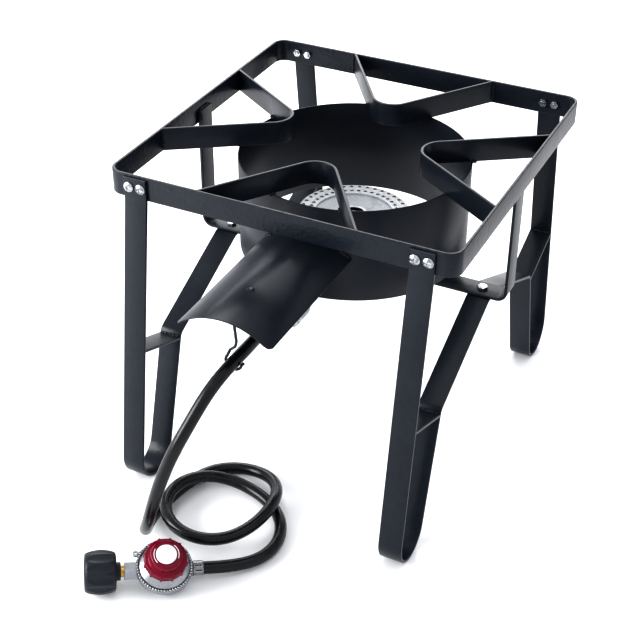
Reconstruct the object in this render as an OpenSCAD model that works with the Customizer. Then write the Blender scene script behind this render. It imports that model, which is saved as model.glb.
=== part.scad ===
// High-pressure outdoor gas burner: a flat-bar stand, a wind guard, a cast
// burner with its mixing tube, a heat shield, a hose and a dial regulator.
// Millimetres, +Z up, the front (hose side) at -Y, the feet on z = 0.

/* [Stand] */
// outside width of the square top frame
frame_w = 374; // [300:1:450]
// height of the pot rest above the floor
stove_h = 362; // [320:1:420]
// width of the flat bar
bar_w = 25.4; // [20:0.1:40]
// thickness of the flat bar
bar_t = 3.2; // [2.5:0.1:6]
// outside radius of the frame's corners
frame_corner_r = 15; // [6:1:30]
// distance from the frame's side to the leg's edge
leg_inset = 21.5; // [10:0.5:40]
// outward lean of a leg's outer run, in degrees
leg_splay = 8.2; // [4:0.1:12]
// inward lean of a leg's inner run, in degrees
leg_lean = 15.2; // [10:0.1:20]
// outside radius of the U-shaped foot
foot_r = 30.5; // [20:0.5:40]
// distance from the pot rest down to the bend where a leg splays out
splay_drop = 27; // [26:1:60]
// distance from the hanger's top face down to a leg's knee
knee_drop = 62; // [40:1:90]
// half length of the flat under the hanger
flat_half = 14; // [10:1:30]
// upward slope of the braces, in degrees
brace_tilt = 21; // [10:1:30]

/* [Hanger and fingers] */
// distance from the pot rest down to the hanger's top face, where the burner sits
hanger_drop = 151; // [130:1:170]
// outside bend radius of the hanger
hanger_r = 12; // [6:1:30]
// half distance between a finger's two ends
finger_spread = 84; // [60:1:110]
// half angle of a finger's V, in degrees
finger_angle = 34; // [25:1:45]
// centreline radius of a finger's tip
finger_tip_r = 22; // [10:1:30]

/* [Wind guard and shield] */
// outside radius of the wind guard
guard_r = 124; // [100:1:150]
// height of the wind guard
guard_h = 105.2; // [80:0.1:130]
// sheet thickness of the wind guard
guard_t = 1.5; // [1:0.1:3]
// outside radius of the heat shield's arc
shield_r = 73; // [60:1:90]
// height of the heat shield's crown above the hanger
shield_rise = 90; // [80:1:104]
// half width of the heat shield at its lower edges
shield_half = 50; // [35:1:60]
// distance from the burner's axis to the shield's mouth
shield_reach = 292; // [230:1:320]
// sheet thickness of the heat shield
shield_t = 1.2; // [0.8:0.1:3]
// distance from the shield's mouth back to the hook's rivet
rivet_inset = 57; // [50:1:80]
// distance from the shield's mouth back to the hook's drop
hook_inset = 27.2; // [20:0.1:34]

/* [Burner] */
// radius of the burner cap
cap_r = 61.5; // [50:0.5:75]
// thickness of the burner cap
cap_t = 7; // [6:0.5:10]
// height of the burner cap's top face above the hanger
burner_h = 54; // [44:1:69]
// ports in each ring
port_count = 40; // [24:1:44]
// radius of the outer ring of ports
port_ring = 57; // [50:0.5:59]
// radius of the inner ring of ports
port_ring_in = 48; // [46:0.5:52]
// port radius
port_r = 1.25; // [0.8:0.05:2]
// outside radius of the mixing tube
tube_r = 15.5; // [12:0.5:18]
// height of the mixing tube's axis above the hanger
tube_rise = 29; // [24:1:34]
// outside radius of the tube's bell and of the air shutter
bell_r = 22; // [20:0.5:26]
// distance from the burner's axis to the bell's outer face
bell_y = 168.3; // [150:0.1:180]
// thickness of the air shutter
shutter_t = 1.5; // [1:0.1:3]
// radius of the air holes
air_hole_r = 4.2; // [3:0.1:4.8]

/* [Hose] */
// outside radius of the hose
hose_r = 6.5; // [5:0.1:8]
// sides of the hose's section
hose_sides = 10; // [8:1:12]
// distance from the burner's axis to the hose's start
hose_start_y = 222; // [200:1:240]
// radius of the hook's wire
hook_wire_r = 1.5; // [1:0.1:2.5]

/* [Regulator] */
// radius of the regulator's flanges
reg_r = 27.7; // [24:0.1:32]
// height of the gas line in the regulator's middle
reg_z = 16.9; // [16.9:0.1:25]
// turn of the gas line from +X towards +Y, in degrees
reg_turn = 36; // [0:0.5:60]
// slope of the gas line down to the hose, in degrees
reg_slope = 6; // [0:0.5:8]
// tilt of the knob towards the front, in degrees
reg_tilt = 22.5; // [0:0.5:25]
// radius of the pressure knob
knob_r = 22.2; // [18:0.1:24]
// travel of the pressure screw
screw_travel = 3; // [1:0.5:3]
// radius of the tank nut
tank_nut_r = 22.3; // [20:0.1:22.4]
// length of the tank nut
tank_nut_l = 31; // [28:1:40]

/* [Fasteners and fits] */
// running clearance on radius
run_fit = 0.05; // [0.01:0.01:0.1]
// gap between pieces that lie near each other and don't touch
body_gap = 0.3; // [0.2:0.05:0.5]
// radius of the frame screws
screw_r = 2.4; // [2:0.1:3]
// radius of the bracket bolts
bolt_r = 3; // [2.5:0.1:4]
// distance from the pot rest down to the frame screws
screw_drop = 12; // [8:0.5:18]
// half distance between the two screws of a leg
screw_half = 6.7; // [6:0.1:8]
// corner radius of a bolt's hex head and nut
hex_r = 5.8; // [5:0.1:7]
// thickness of the nuts on the bolts
nut_t = 5; // [3:0.5:7]
// height of the heads of the bracket's bolts
bracket_head_t = 3; // [2:0.5:6]
// length of a bolt's end past its nut
bolt_end = 4; // [1:0.5:8]

/* [Part] */
// node to draw, or all

/* [Hidden] */

bend_step = 8;
half_w = bar_w / 2;
half_t = bar_t / 2;
frame_z = stove_h - bar_w;
screw_z = stove_h - screw_drop;
splay_z = stove_h - splay_drop;
hanger_z = stove_h - hanger_drop;
knee_z = hanger_z - knee_drop;
tube_z = hanger_z + tube_rise;
cap_top = hanger_z + burner_h;
shield_top = hanger_z + shield_rise;
frame_in = frame_w / 2 - bar_t;
leg_x = frame_w / 2 - leg_inset - half_w;
hole_r = screw_r + run_fit;
bolt_hole_r = bolt_r + run_fit;
cut = 1;

// A leg's centreline in (y, z): down, round the foot, up to the knee.
foot_mid_r = foot_r - half_t;
tab_gap = 2;
splay_r = 12;
knee_r = 10;
flat_r = 14;
leg_y = frame_w / 2 + half_t;
foot_out_z = foot_r + foot_mid_r * sin(leg_splay);
foot_out_y = leg_y + (splay_z - foot_out_z) * tan(leg_splay);
foot_y = foot_out_y - foot_mid_r * cos(leg_splay);
foot_in = [foot_y - foot_mid_r * cos(leg_lean), foot_r - foot_mid_r * sin(leg_lean)];
foot_v1 = [foot_out_y + (foot_out_z - half_t) * tan(leg_splay), half_t];
foot_v2 = [foot_in[0] + (foot_in[1] - half_t) * tan(leg_lean), half_t];
knee_y = foot_in[0] - (knee_z - foot_in[1]) * tan(leg_lean);
flat_z = hanger_z - bar_t - half_t;
leg_half = [[leg_y, stove_h - tab_gap], [leg_y, splay_z], foot_v1, foot_v2,
  [knee_y, knee_z], [flat_half, flat_z]];
leg_half_r = [0, splay_r, foot_mid_r, foot_mid_r, knee_r, flat_r];
leg_path = concat(leg_half, [for (i = [len(leg_half) - 1 : -1 : 0]) mirror_y(leg_half[i])]);
leg_radii = concat(leg_half_r, [for (i = [len(leg_half_r) - 1 : -1 : 0]) leg_half_r[i]]);

// The stand is shifted so that its middle, shield included, is at y = 0.
foot_reach = foot_y + foot_r;
centre_shift = (shield_reach - foot_reach) / 2;

guard_z = frame_z - guard_h;
guard_slot = 17;
guard_slot_z = tube_z + 5;
shield_z = shield_top - shield_r;
shield_corner = 7;
rivet_y = rivet_inset - shield_reach;
rivet_r = 2;
rivet_head_r = 4;
rivet_head_t = 1.4;

// The burner's casting, turned about z.
cap_z = cap_top - cap_t;
foot_pad_r = 24;
foot_pad_t = 4;
bowl_t = 4;
post_r = 9;
tube_in_r = tube_r - 3;
tube_root = 46;
bell_l = 17;
plate_t = 3;
bell_in_r = bell_r - 3;
hub_out_r = 15;
hub_room_r = 11.5;
hub_room = 3.5;
groove_r = 43;
groove_t = 2.5;
cap_bolt_r = 6.2;
cap_bolt_t = 3;
jet_l = 18;
jet_wall = 4;
spigot_l = 9;
shank_r = 6;
air_ring = 13.2;
air_count = 4;
lock_t = 5;
swivel_front = 186;
swivel_l = 20;
ferrule_r = 8.2;
ferrule_l = hose_start_y - swivel_front - swivel_l;
gas_r = 3;

// The regulator's own frame: x along the gas line, z along the knob.
reg_at = [-45.4, -347.8, reg_z];
outlet_x = 28.7;
crimp_l = 11;
crimp_r = 7.5;
boss_x = 39.7;
boss_r = 9.6;
boss_seat = 8;
lug_turn = 152;
back_t = 14.9;
back_r = 8;
shell_r = 25;
cone_t = 5.5;
tier_r = 17.5;
tier_top = 23.5;
collar_x = 43.3;
collar_l = 4.6;
collar_r = 9.2;
nut_back = collar_x + collar_l;
nipple_r = 5.8;
nut_wall = 6;
flange_z = 3;
flange_t = 2;
dia_t = 1;
dia_z = flange_z + flange_t;
bonnet_z = dia_z + dia_t;
bonnet_t = 3;
plate_r = 14;
dia_plate_t = 1.4;
neck_r = 12.5;
neck_in_r = 10.5;
neck_top = 30;
neck_cap = 4;
stem_r = 5;
seat_t = 1.6;
seat_z = neck_top - neck_cap - seat_t - 2;
coil_r = 8;
coil_wire = 1.1;
coil_turns = 3;
coil_pitch = 3.1;
coil_steps = 12;
coil_z = bonnet_z + dia_plate_t + coil_wire;
coil_gap = coil_pitch - 2 * coil_wire;
knob_z = 19.5;
knob_step_z = 28.5;
knob_top = 36.5;
knob_crown = 3;
knob_step_r = 16;
knob_lobes = 12;
cap_disc_r = 10.4;

// Hose route: control points of a smooth curve, in the burner's own frame.
gas_dir = [cos(reg_turn) * cos(reg_slope), sin(reg_turn) * cos(reg_slope), -sin(reg_slope)];
hose_end = reg_at + (outlet_x + crimp_l) * gas_dir;
hose_lead = 26;
hose_points = [[0, -hose_start_y, tube_z], [0, -252, tube_z], [-6, -279, tube_z - 7],
  [-14, -302, tube_z - 23], [-22, -321, tube_z - 47],
  [-33, -335, 166], [-43, -343, 135], [-53, -344, 103], [-63, -340, 73],
  [-75, -330, 46], [-88, -314, 25], [-98, -293, 12], [-104, -266, 7.3], [-101, -235, 6.6],
  [-95, -204, 6.8], [-82, -179, 6.6], [-58, -165, 7.4], [-29, -164, 9.7], [-3, -179, 15.4],
  [12, -211, 22.4], [9, -248, 18.8], [-8, -281, 16.5], [-36, -296, 17.3], [-67, -293, 19],
  [-91, -274, 20.5], [-100, -244, 21], [-91, -213, 19.3], [-64, -191, 12.5], [-22, -191, 6.6],
  [20, -213, 6.8], [38, -252, 6.7], [31, -287, 8.5], hose_end + hose_lead * gas_dir, hose_end];
rings_per_span = 2;
landing_span = 12;
hose_curve = smooth(hose_points, rings_per_span);
landing = landing_span * rings_per_span;
hose_gap = min([for (i = [0 : len(hose_curve) - 1]) for (j = [i + 5 : 1 : len(hose_curve) - 1])
  norm(hose_curve[i] - hose_curve[j])]) - 2 * hose_r;

// Hook: an eye round the rivet, a run forward, then a J under the hose.
eye_r = 4;
eye_z = shield_top - shield_t - hook_wire_r - body_gap;
hook_y = hook_inset - shield_reach;
hook_at = [-3.7, hook_y, tube_z - 4.3];
hook_ring = hose_r + hook_wire_r + 0.7;
hook_path = concat(
  [for (a = [-70 : 25 : 180]) [eye_r * cos(a), rivet_y + eye_r * sin(a), eye_z]],
  [[-eye_r, rivet_y - 11, eye_z], [-eye_r, hook_y + 5.8, eye_z], [-3.8, hook_y + 1.8, eye_z - 2],
   [-3.4, hook_y, eye_z - 6], [-2, hook_y, eye_z - 18], [0, hook_y, tube_z + 20],
   [-1.5, hook_y, tube_z + 14], [-7, hook_y, tube_z + 9]],
  [for (a = [140 : 30 : 350]) hook_at + hook_ring * [cos(a), 0, sin(a)]],
  [hook_at + [hook_ring + 2, 0, 1]]);
hook_sides = 8;

function mirror_y(p) = [-p[0], p[1]];
function heading(a, b) = atan2(b[1] - a[1], b[0] - a[0]);
function wrap(a) = a > 180 ? a - 360 : (a <= -180 ? a + 360 : a);

// Stations [x, y, heading] round the bend at p1.
function corner(p0, p1, p2, r) =
  let (a = heading(p0, p1), turn = wrap(heading(p1, p2) - a), s = turn < 0 ? -1 : 1,
    q = p1 - r * tan(abs(turn) / 2) * [cos(a), sin(a)], c = q + s * r * [-sin(a), cos(a)],
    n = max(1, ceil(abs(turn) / bend_step)))
  [for (k = [0 : n]) let (h = a + turn * k / n) [c[0] + s * r * sin(h), c[1] - s * r * cos(h), h]];
function stations(p, r) =
  let (n = len(p) - 1)
  concat([[p[0][0], p[0][1], heading(p[0], p[1])]],
    [for (i = [1 : n - 1]) each corner(p[i - 1], p[i], p[i + 1], r[i])],
    [[p[n][0], p[n][1], heading(p[n - 1], p[n])]]);
function apart(s) = [for (i = [0 : len(s) - 1])
  if (i == 0 || norm([s[i][0] - s[i - 1][0], s[i][1] - s[i - 1][1]]) > 0.01) s[i]];
function side(s, off) = [for (q = s) [q[0] - off * sin(q[2]), q[1] + off * cos(q[2])]];
function back(s) = [for (i = [len(s) - 1 : -1 : 0]) s[i]];

// Where a line through (y0, z0) with slope t meets the leaning face y = a - b * z.
function meet(a, b, y0, z0, t) =
  let (y = (a - b * z0 + b * t * y0) / (1 + b * t)) [y, z0 + (y - y0) * t];

// A smooth curve through the span of the control points p, m stations to a span.
function weights(t) = [pow(1 - t, 3), 3 * t * t * t - 6 * t * t + 4,
  -3 * t * t * t + 3 * t * t + 3 * t + 1, t * t * t] / 6;
function smooth(p, m) =
  let (n = len(p), q = concat([2 * p[0] - p[1]], p, [2 * p[n - 1] - p[n - 2]]))
  concat([for (i = [0 : n - 2]) for (k = [0 : m - 1])
    let (w = weights(k / m)) w[0] * q[i] + w[1] * q[i + 1] + w[2] * q[i + 2] + w[3] * q[i + 3]],
    [p[n - 1]]);
function unit(v) = v / norm(v);
function slice(p, a, b) = [for (i = [a : b]) p[i]];

// Directions of a curve, taken with the neighbours before and after each station.
function tangents(p, first, last) = [for (i = [0 : len(p) - 1])
  i == 0 ? first : (i == len(p) - 1 ? last : unit(p[i + 1] - p[i - 1]))];
function level(t) = norm([t[0], t[1]]) > 0.02 ? unit([-t[1], t[0], 0]) : [1, 0, 0];

// Ring directions carried along the curve without twist.
function carry(t, i, n) = i >= len(t) ? [] :
  let (m = unit(n - (n * t[i]) * t[i])) concat([m], carry(t, i + 1, m));

echo(hose_gap = hose_gap, coil_gap = coil_gap, shift = centre_shift);

module strip(p, r) {
  s = apart(stations(p, r));
  linear_extrude(height = bar_w, center = true)
    polygon(concat(side(s, half_t), back(side(s, -half_t))));
}

module sweep(p, t, r, n) {
  u = carry(t, 0, level(t[0]));
  pts = [for (i = [0 : len(p) - 1]) for (k = [0 : n - 1])
    p[i] + r * (cos(k * 360 / n) * u[i] + sin(k * 360 / n) * cross(t[i], u[i]))];
  last = (len(p) - 1) * n;
  walls = [for (i = [0 : len(p) - 2]) for (k = [0 : n - 1])
    let (a = i * n + k, b = i * n + (k + 1) % n)
    each [[a, a + n, b + n], [a, b + n, b]]];
  polyhedron(points = pts, faces = concat(walls, [[for (k = [0 : n - 1]) k]],
    [[for (k = [n - 1 : -1 : 0]) last + k]]));
}

module at_stove() {
  translate([0, centre_shift, 0]) children();
}

module rounded_block(w, h, r) {
  translate([-w / 2 + r, -w / 2, 0]) cube([w - 2 * r, w, h]);
  translate([-w / 2, -w / 2 + r, 0]) cube([w, w - 2 * r, h]);
  for (x = [-1, 1]) for (y = [-1, 1])
    translate([x * (w / 2 - r), y * (w / 2 - r), 0]) cylinder(h = h, r = r, $fn = 64);
}

module frame_screw_holes() {
  for (s = [-1, 1]) for (d = [-1, 1])
    translate([s * leg_x + d * screw_half, 0, screw_z]) rotate([90, 0, 0])
      cylinder(h = frame_w + 20, r = hole_r, center = true, $fn = 24);
}

module bracket_bolt_holes() {
  for (s = [-1, 1]) translate([s * leg_x, 0, 0])
    cylinder(h = stove_h, r = bolt_hole_r, $fn = 32);
}

module top_frame() {
  color("#26282c") at_stove() difference() {
    translate([0, 0, frame_z]) rounded_block(frame_w, bar_w, frame_corner_r);
    translate([0, 0, frame_z - cut])
      rounded_block(frame_w - 2 * bar_t, bar_w + 2 * cut, frame_corner_r - bar_t);
    frame_screw_holes();
  }
}

// A V of flat bar from the front bar towards the middle; turn picks the side.
module finger(turn) {
  tip = frame_in - finger_spread / tan(finger_angle);
  out = 10;
  x_out = finger_spread + out * tan(finger_angle);
  color("#26282c") at_stove() rotate([0, 0, turn]) intersection() {
    translate([0, 0, frame_z + half_w])
      strip([[x_out, -frame_in - out], [0, -tip], [-x_out, -frame_in - out]], [0, finger_tip_r, 0]);
    translate([-frame_in, -frame_in, frame_z]) cube([2 * frame_in, frame_in, bar_w]);
  }
}

module finger_front() {
  finger(0);
}

module finger_right() {
  finger(90);
}

module finger_back() {
  finger(180);
}

module finger_left() {
  finger(270);
}

// One bent bar carries the front foot, the flat under the hanger and the back foot.
module leg(s) {
  color("#26282c") at_stove() difference() {
    translate([s * leg_x, 0, 0]) rotate([90, 0, 90]) strip(leg_path, leg_radii);
    frame_screw_holes();
    bracket_bolt_holes();
  }
}

module leg_left() {
  leg(-1);
}

module leg_right() {
  leg(1);
}

// A welded brace from the knee to the leg's outer run; s is left or right, f front or back.
module brace(s, f) {
  top_y = knee_y + half_t / cos(leg_lean) + knee_r * tan(leg_lean);
  top_z = knee_z - knee_r * tan((90 - leg_lean) / 3) + half_t;
  low_z = top_z - bar_t / cos(brace_tilt);
  slope = tan(brace_tilt);
  a_in = knee_y + knee_z * tan(leg_lean) + half_t / cos(leg_lean);
  a_out = leg_y + splay_z * tan(leg_splay) - half_t / cos(leg_splay);
  corners = [meet(a_in, tan(leg_lean), top_y, low_z, slope), meet(a_out, tan(leg_splay), top_y, low_z, slope),
    meet(a_out, tan(leg_splay), top_y, top_z, slope), meet(a_in, tan(leg_lean), top_y, top_z, slope)];
  color("#26282c") at_stove() translate([s * leg_x, 0, 0]) scale([1, f, 1]) rotate([90, 0, 90])
    linear_extrude(height = bar_w, center = true) polygon(corners);
}

module brace_fl() {
  brace(-1, -1);
}

module brace_fr() {
  brace(1, -1);
}

module brace_bl() {
  brace(-1, 1);
}

module brace_br() {
  brace(1, 1);
}

module hanger_bracket() {
  x = frame_in - half_t;
  z = hanger_z - half_t;
  top = stove_h - 11;
  r = hanger_r - half_t;
  color("#26282c") at_stove() difference() {
    rotate([90, 0, 0]) strip([[-x, top], [-x, z], [x, z], [x, top]], [0, r, r, 0]);
    bracket_bolt_holes();
    cylinder(h = stove_h, r = bolt_hole_r, $fn = 32);
  }
}

module each_frame_screw() {
  at_stove() for (f = [0, 180]) rotate([0, 0, f]) for (s = [-1, 1]) for (d = [-1, 1])
    translate([s * leg_x + d * screw_half, -leg_y - half_t, screw_z]) rotate([90, 0, 0]) children();
}

module frame_screws() {
  head_r = 5.5;
  head_t = 3;
  slot = 1.2;
  color("#b9bcc0") each_frame_screw() {
    difference() {
      intersection() {
        cylinder(h = head_t, r = head_r, $fn = 32);
        translate([0, 0, -5.2]) sphere(r = 8.3, $fn = 48);
      }
      for (a = [0, 90]) rotate([0, 0, a])
        translate([-3, -slot / 2, head_t - 1.4]) cube([6, slot, 3]);
    }
    translate([0, 0, -2 * bar_t - 5]) cylinder(h = 2 * bar_t + 5, r = screw_r, $fn = 24);
  }
}

module frame_nuts() {
  small_nut_r = 4.6;
  small_nut_t = 4;
  color("#b9bcc0") each_frame_screw() translate([0, 0, -2 * bar_t - small_nut_t]) difference() {
    cylinder(h = small_nut_t, r = small_nut_r, $fn = 6);
    translate([0, 0, -cut]) cylinder(h = small_nut_t + 2 * cut, r = hole_r, $fn = 24);
  }
}

module hex_bolt(r, head_r, head_t, length) {
  cylinder(h = head_t, r = head_r, $fn = 6);
  translate([0, 0, -length]) cylinder(h = length, r = r, $fn = 32);
}

module hex_nut(bore, r, t) {
  difference() {
    cylinder(h = t, r = r, $fn = 6);
    translate([0, 0, -cut]) cylinder(h = t + 2 * cut, r = bore, $fn = 32);
  }
}

module bracket_bolts() {
  color("#b9bcc0") at_stove() for (s = [-1, 1])
    translate([s * leg_x, 0, hanger_z])
      hex_bolt(bolt_r, hex_r, bracket_head_t, 2 * bar_t + nut_t + bolt_end);
}

module bracket_nuts() {
  color("#b9bcc0") at_stove() for (s = [-1, 1])
    translate([s * leg_x, 0, hanger_z - 2 * bar_t - nut_t]) hex_nut(bolt_hole_r, hex_r, nut_t);
}

module wind_guard() {
  color("#26282c") at_stove() difference() {
    translate([0, 0, guard_z]) cylinder(h = guard_h, r = guard_r, $fn = 128);
    translate([0, 0, guard_z - cut]) cylinder(h = guard_h + 2 * cut, r = guard_r - guard_t, $fn = 128);
    translate([-guard_slot, -guard_r - cut, guard_z - cut])
      cube([2 * guard_slot, guard_r, guard_slot_z - guard_z + cut]);
    translate([0, 0, guard_slot_z]) rotate([90, 0, 0])
      cylinder(h = guard_r + cut, r = guard_slot, $fn = 48);
  }
}

// The shield is a rolled sheet cut to sit against the wind guard's wall.
module heat_shield() {
  color("#26282c") at_stove() difference() {
    translate([0, 0, shield_z]) rotate([90, 0, 0])
      cylinder(h = shield_reach, r = shield_r, $fn = 128);
    translate([0, cut, shield_z]) rotate([90, 0, 0])
      cylinder(h = shield_reach + 2 * cut, r = shield_r - shield_t, $fn = 128);
    cylinder(h = stove_h, r = guard_r, $fn = 128);
    for (s = [-1, 1]) translate([s * (shield_half + shield_r) - shield_r, -shield_reach - cut, 0])
      cube([2 * shield_r, shield_reach + 2 * cut, stove_h]);
    translate([-shield_half - cut, -shield_reach - cut, 0])
      cube([2 * shield_half + 2 * cut, shield_reach + 2 * cut, shield_z]);
    for (s = [-1, 1]) difference() {
      translate([s * shield_half - shield_corner, -shield_reach - shield_corner, shield_z])
        cube([2 * shield_corner, 2 * shield_corner, shield_r]);
      translate([s * (shield_half - shield_corner), -shield_reach + shield_corner, 0])
        cylinder(h = stove_h, r = shield_corner, $fn = 48);
    }
    translate([0, rivet_y, 0]) cylinder(h = stove_h, r = rivet_r, $fn = 24);
  }
}

module shield_rivet() {
  low = eye_z - hook_wire_r;
  color("#3a3d42") at_stove() translate([0, rivet_y, 0]) {
    translate([0, 0, low]) cylinder(h = shield_top - low, r = rivet_r, $fn = 24);
    translate([0, 0, shield_top]) cylinder(h = rivet_head_t, r1 = rivet_head_r, r2 = rivet_r, $fn = 32);
    translate([0, 0, low - rivet_head_t]) cylinder(h = rivet_head_t, r = rivet_head_r, $fn = 32);
  }
}

module hose_hook() {
  n = len(hook_path) - 1;
  color("#26282c") at_stove() sweep(hook_path, tangents(hook_path,
    unit(hook_path[1] - hook_path[0]), unit(hook_path[n] - hook_path[n - 1])), hook_wire_r, hook_sides);
}

module along_tube(y) {
  at_stove() translate([0, -y, tube_z]) rotate([90, 0, 0]) children();
}

module burner_bowl() {
  wall_r = cap_r - bowl_t;
  low = tube_z - tube_r - 1.5;
  color("#b4b7bb") difference() {
    at_stove() rotate_extrude($fn = 96) polygon([[bolt_hole_r, hanger_z], [foot_pad_r, hanger_z],
      [foot_pad_r, hanger_z + foot_pad_t], [cap_r - 5, low - 5], [cap_r, low], [cap_r, cap_z],
      [wall_r, cap_z], [wall_r, low + 1], [wall_r - 2, low - 1], [foot_pad_r, hanger_z + 2 * foot_pad_t],
      [post_r, hanger_z + 2 * foot_pad_t], [post_r, cap_z], [bolt_hole_r, cap_z]]);
    along_tube(tube_root) cylinder(h = cap_r, r = tube_r, $fn = 48);
  }
}

// The mixing tube is set in the bowl's wall and ends in a bell with air holes.
module mixing_tube() {
  color("#b4b7bb") difference() {
    union() {
      along_tube(tube_root) cylinder(h = bell_y - bell_l - 8 - tube_root, r = tube_r, $fn = 48);
      along_tube(bell_y - bell_l - 8) cylinder(h = 8, r1 = tube_r, r2 = bell_r, $fn = 48);
      along_tube(bell_y - bell_l) cylinder(h = bell_l, r = bell_r, $fn = 48);
    }
    along_tube(tube_root - cut) cylinder(h = bell_y - bell_l - tube_root + cut, r = tube_in_r, $fn = 48);
    along_tube(bell_y - bell_l) cylinder(h = bell_l - plate_t, r1 = tube_in_r, r2 = bell_in_r, $fn = 48);
    along_tube(bell_y - plate_t - cut) cylinder(h = plate_t + 2 * cut, r = shank_r + run_fit, $fn = 32);
    for (k = [0 : air_count - 1]) along_tube(bell_y - plate_t - cut) rotate([0, 0, 45 + k * 360 / air_count])
      translate([air_ring, 0, 0]) cylinder(h = plate_t + 2 * cut, r = air_hole_r, $fn = 24);
  }
}

module burner_cap() {
  color("#c9cbce") at_stove() translate([0, 0, cap_z]) difference() {
    cylinder(h = cap_t, r = cap_r, $fn = 96);
    translate([0, 0, cap_t - groove_t]) difference() {
      cylinder(h = groove_t + cut, r = groove_r, $fn = 64);
      cylinder(h = groove_t + cut, r = hub_out_r, $fn = 48);
    }
    translate([0, 0, cap_t - hub_room]) cylinder(h = hub_room + cut, r = hub_room_r, $fn = 48);
    translate([0, 0, -cut]) cylinder(h = cap_t + 2 * cut, r = bolt_hole_r, $fn = 32);
    for (k = [0 : port_count - 1]) rotate([0, 0, k * 360 / port_count]) for (r = [port_ring, port_ring_in])
      translate([r, 0, -cut]) cylinder(h = cap_t + 2 * cut, r = port_r, $fn = 8);
  }
}

module burner_bolt() {
  seat = cap_top - hub_room;
  color("#8d9094") at_stove() translate([0, 0, seat])
    hex_bolt(bolt_r, cap_bolt_r, cap_bolt_t, seat - hanger_z + bar_t + nut_t + bolt_end);
}

module burner_nut() {
  color("#b9bcc0") at_stove() translate([0, 0, hanger_z - bar_t - nut_t]) hex_nut(bolt_hole_r, hex_r, nut_t);
}

// The shutter turns on the fitting's shank and closes the bell's air holes.
module air_shutter() {
  ear_w = 7;
  ear_out = 27;
  color("#9a9c9f") along_tube(bell_y) difference() {
    union() {
      cylinder(h = shutter_t, r = bell_r, $fn = 64);
      translate([-ear_w / 2, bell_r - 4, 0]) cube([ear_w, ear_out - bell_r + 4, shutter_t]);
    }
    translate([0, 0, -cut]) cylinder(h = shutter_t + 2 * cut, r = shank_r + run_fit, $fn = 32);
    for (k = [0 : air_count - 1]) rotate([0, 0, 45 + k * 360 / air_count])
      translate([air_ring, 0, -cut]) cylinder(h = shutter_t + 2 * cut, r = air_hole_r, $fn = 24);
  }
}

module shutter_nut() {
  color("#b89a56") along_tube(bell_y + shutter_t) hex_nut(shank_r + run_fit, 9.8, lock_t);
}

module orifice_fitting() {
  hex_y = bell_y + shutter_t + lock_t;
  hex_l = 8;
  spigot_y = swivel_front + spigot_l;
  color("#b89a56") difference() {
    union() {
      along_tube(bell_y - jet_l) cylinder(h = 10, r1 = 3, r2 = 4.4, $fn = 32);
      along_tube(bell_y - 8) cylinder(h = hex_y - bell_y + 8, r = shank_r, $fn = 32);
      along_tube(hex_y) cylinder(h = hex_l, r = 8.1, $fn = 6);
      along_tube(hex_y + hex_l) cylinder(h = spigot_y - hex_y - hex_l, r = shank_r, $fn = 32);
    }
    along_tube(bell_y - jet_l + jet_wall) cylinder(h = spigot_y - bell_y + jet_l, r = 2, $fn = 16);
    along_tube(bell_y - jet_l - cut) cylinder(h = jet_wall + 2 * cut, r = 0.5, $fn = 12);
  }
}

module swivel_nut() {
  color("#b89a56") difference() {
    along_tube(swivel_front) cylinder(h = swivel_l, r = 9.8, $fn = 6);
    along_tube(swivel_front - cut) cylinder(h = spigot_l + 2 * cut, r = shank_r + run_fit, $fn = 32);
    along_tube(swivel_front) cylinder(h = swivel_l + cut, r = gas_r, $fn = 24);
  }
}

module burner_ferrule() {
  color("#9a9c9f") difference() {
    along_tube(hose_start_y - ferrule_l) cylinder(h = ferrule_l, r = ferrule_r, $fn = 40);
    along_tube(hose_start_y - ferrule_l - cut) cylinder(h = ferrule_l + 2 * cut, r = gas_r, $fn = 24);
  }
}

hose_tangents = tangents(hose_curve, [0, -1, 0], -gas_dir);

module hose_drop() {
  color("#1b1c1e") at_stove() sweep(slice(hose_curve, 0, landing), slice(hose_tangents, 0, landing),
    hose_r, hose_sides);
}

module hose_loop() {
  last = len(hose_curve) - 1;
  color("#1b1c1e") at_stove() sweep(slice(hose_curve, landing, last), slice(hose_tangents, landing, last),
    hose_r, hose_sides);
}

module at_regulator() {
  at_stove() translate(reg_at) rotate([0, reg_slope, reg_turn]) rotate([reg_tilt, 0, 0]) children();
}

// Along the gas line, from x outwards to the tank side (towards -x).
module line_in(x) {
  at_regulator() translate([-x, 0, 0]) rotate([0, -90, 0]) children();
}

module line_out(x) {
  at_regulator() translate([x, 0, 0]) rotate([0, 90, 0]) children();
}

module regulator_ferrule() {
  color("#9a9c9f") difference() {
    line_out(outlet_x) cylinder(h = crimp_l, r = crimp_r, $fn = 40);
    line_out(outlet_x - cut) cylinder(h = crimp_l + 2 * cut, r = gas_r, $fn = 24);
  }
}

module regulator_housing() {
  room_r = 21;
  room_z = -5;
  color("#a7aaad") difference() {
    union() {
      at_regulator() rotate_extrude($fn = 96) polygon([[0, -back_t], [back_r, -back_t],
        [back_r, 1.5 - back_t], [14, 2.8 - back_t], [22, 6.4 - back_t], [shell_r, -4],
        [shell_r, flange_z], [reg_r, flange_z], [reg_r, dia_z], [0, dia_z]]);
      line_in(0) rotate([0, 0, 30]) cylinder(h = boss_x, r = boss_r, $fn = 6);
      line_out(0) cylinder(h = outlet_x, r = crimp_r, $fn = 40);
    }
    at_regulator() translate([0, 0, room_z]) cylinder(h = dia_z - room_z + cut, r = room_r, $fn = 64);
    at_regulator() translate([0, 0, dia_z]) cylinder(h = boss_r, r = reg_r + body_gap, $fn = 96);
    line_in(room_r - 4) cylinder(h = boss_x, r = gas_r, $fn = 24);
    line_in(boss_x - boss_seat) cylinder(h = boss_seat + cut, r = nipple_r, $fn = 32);
    line_out(room_r - 4) cylinder(h = outlet_x, r = gas_r, $fn = 24);
  }
}

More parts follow.
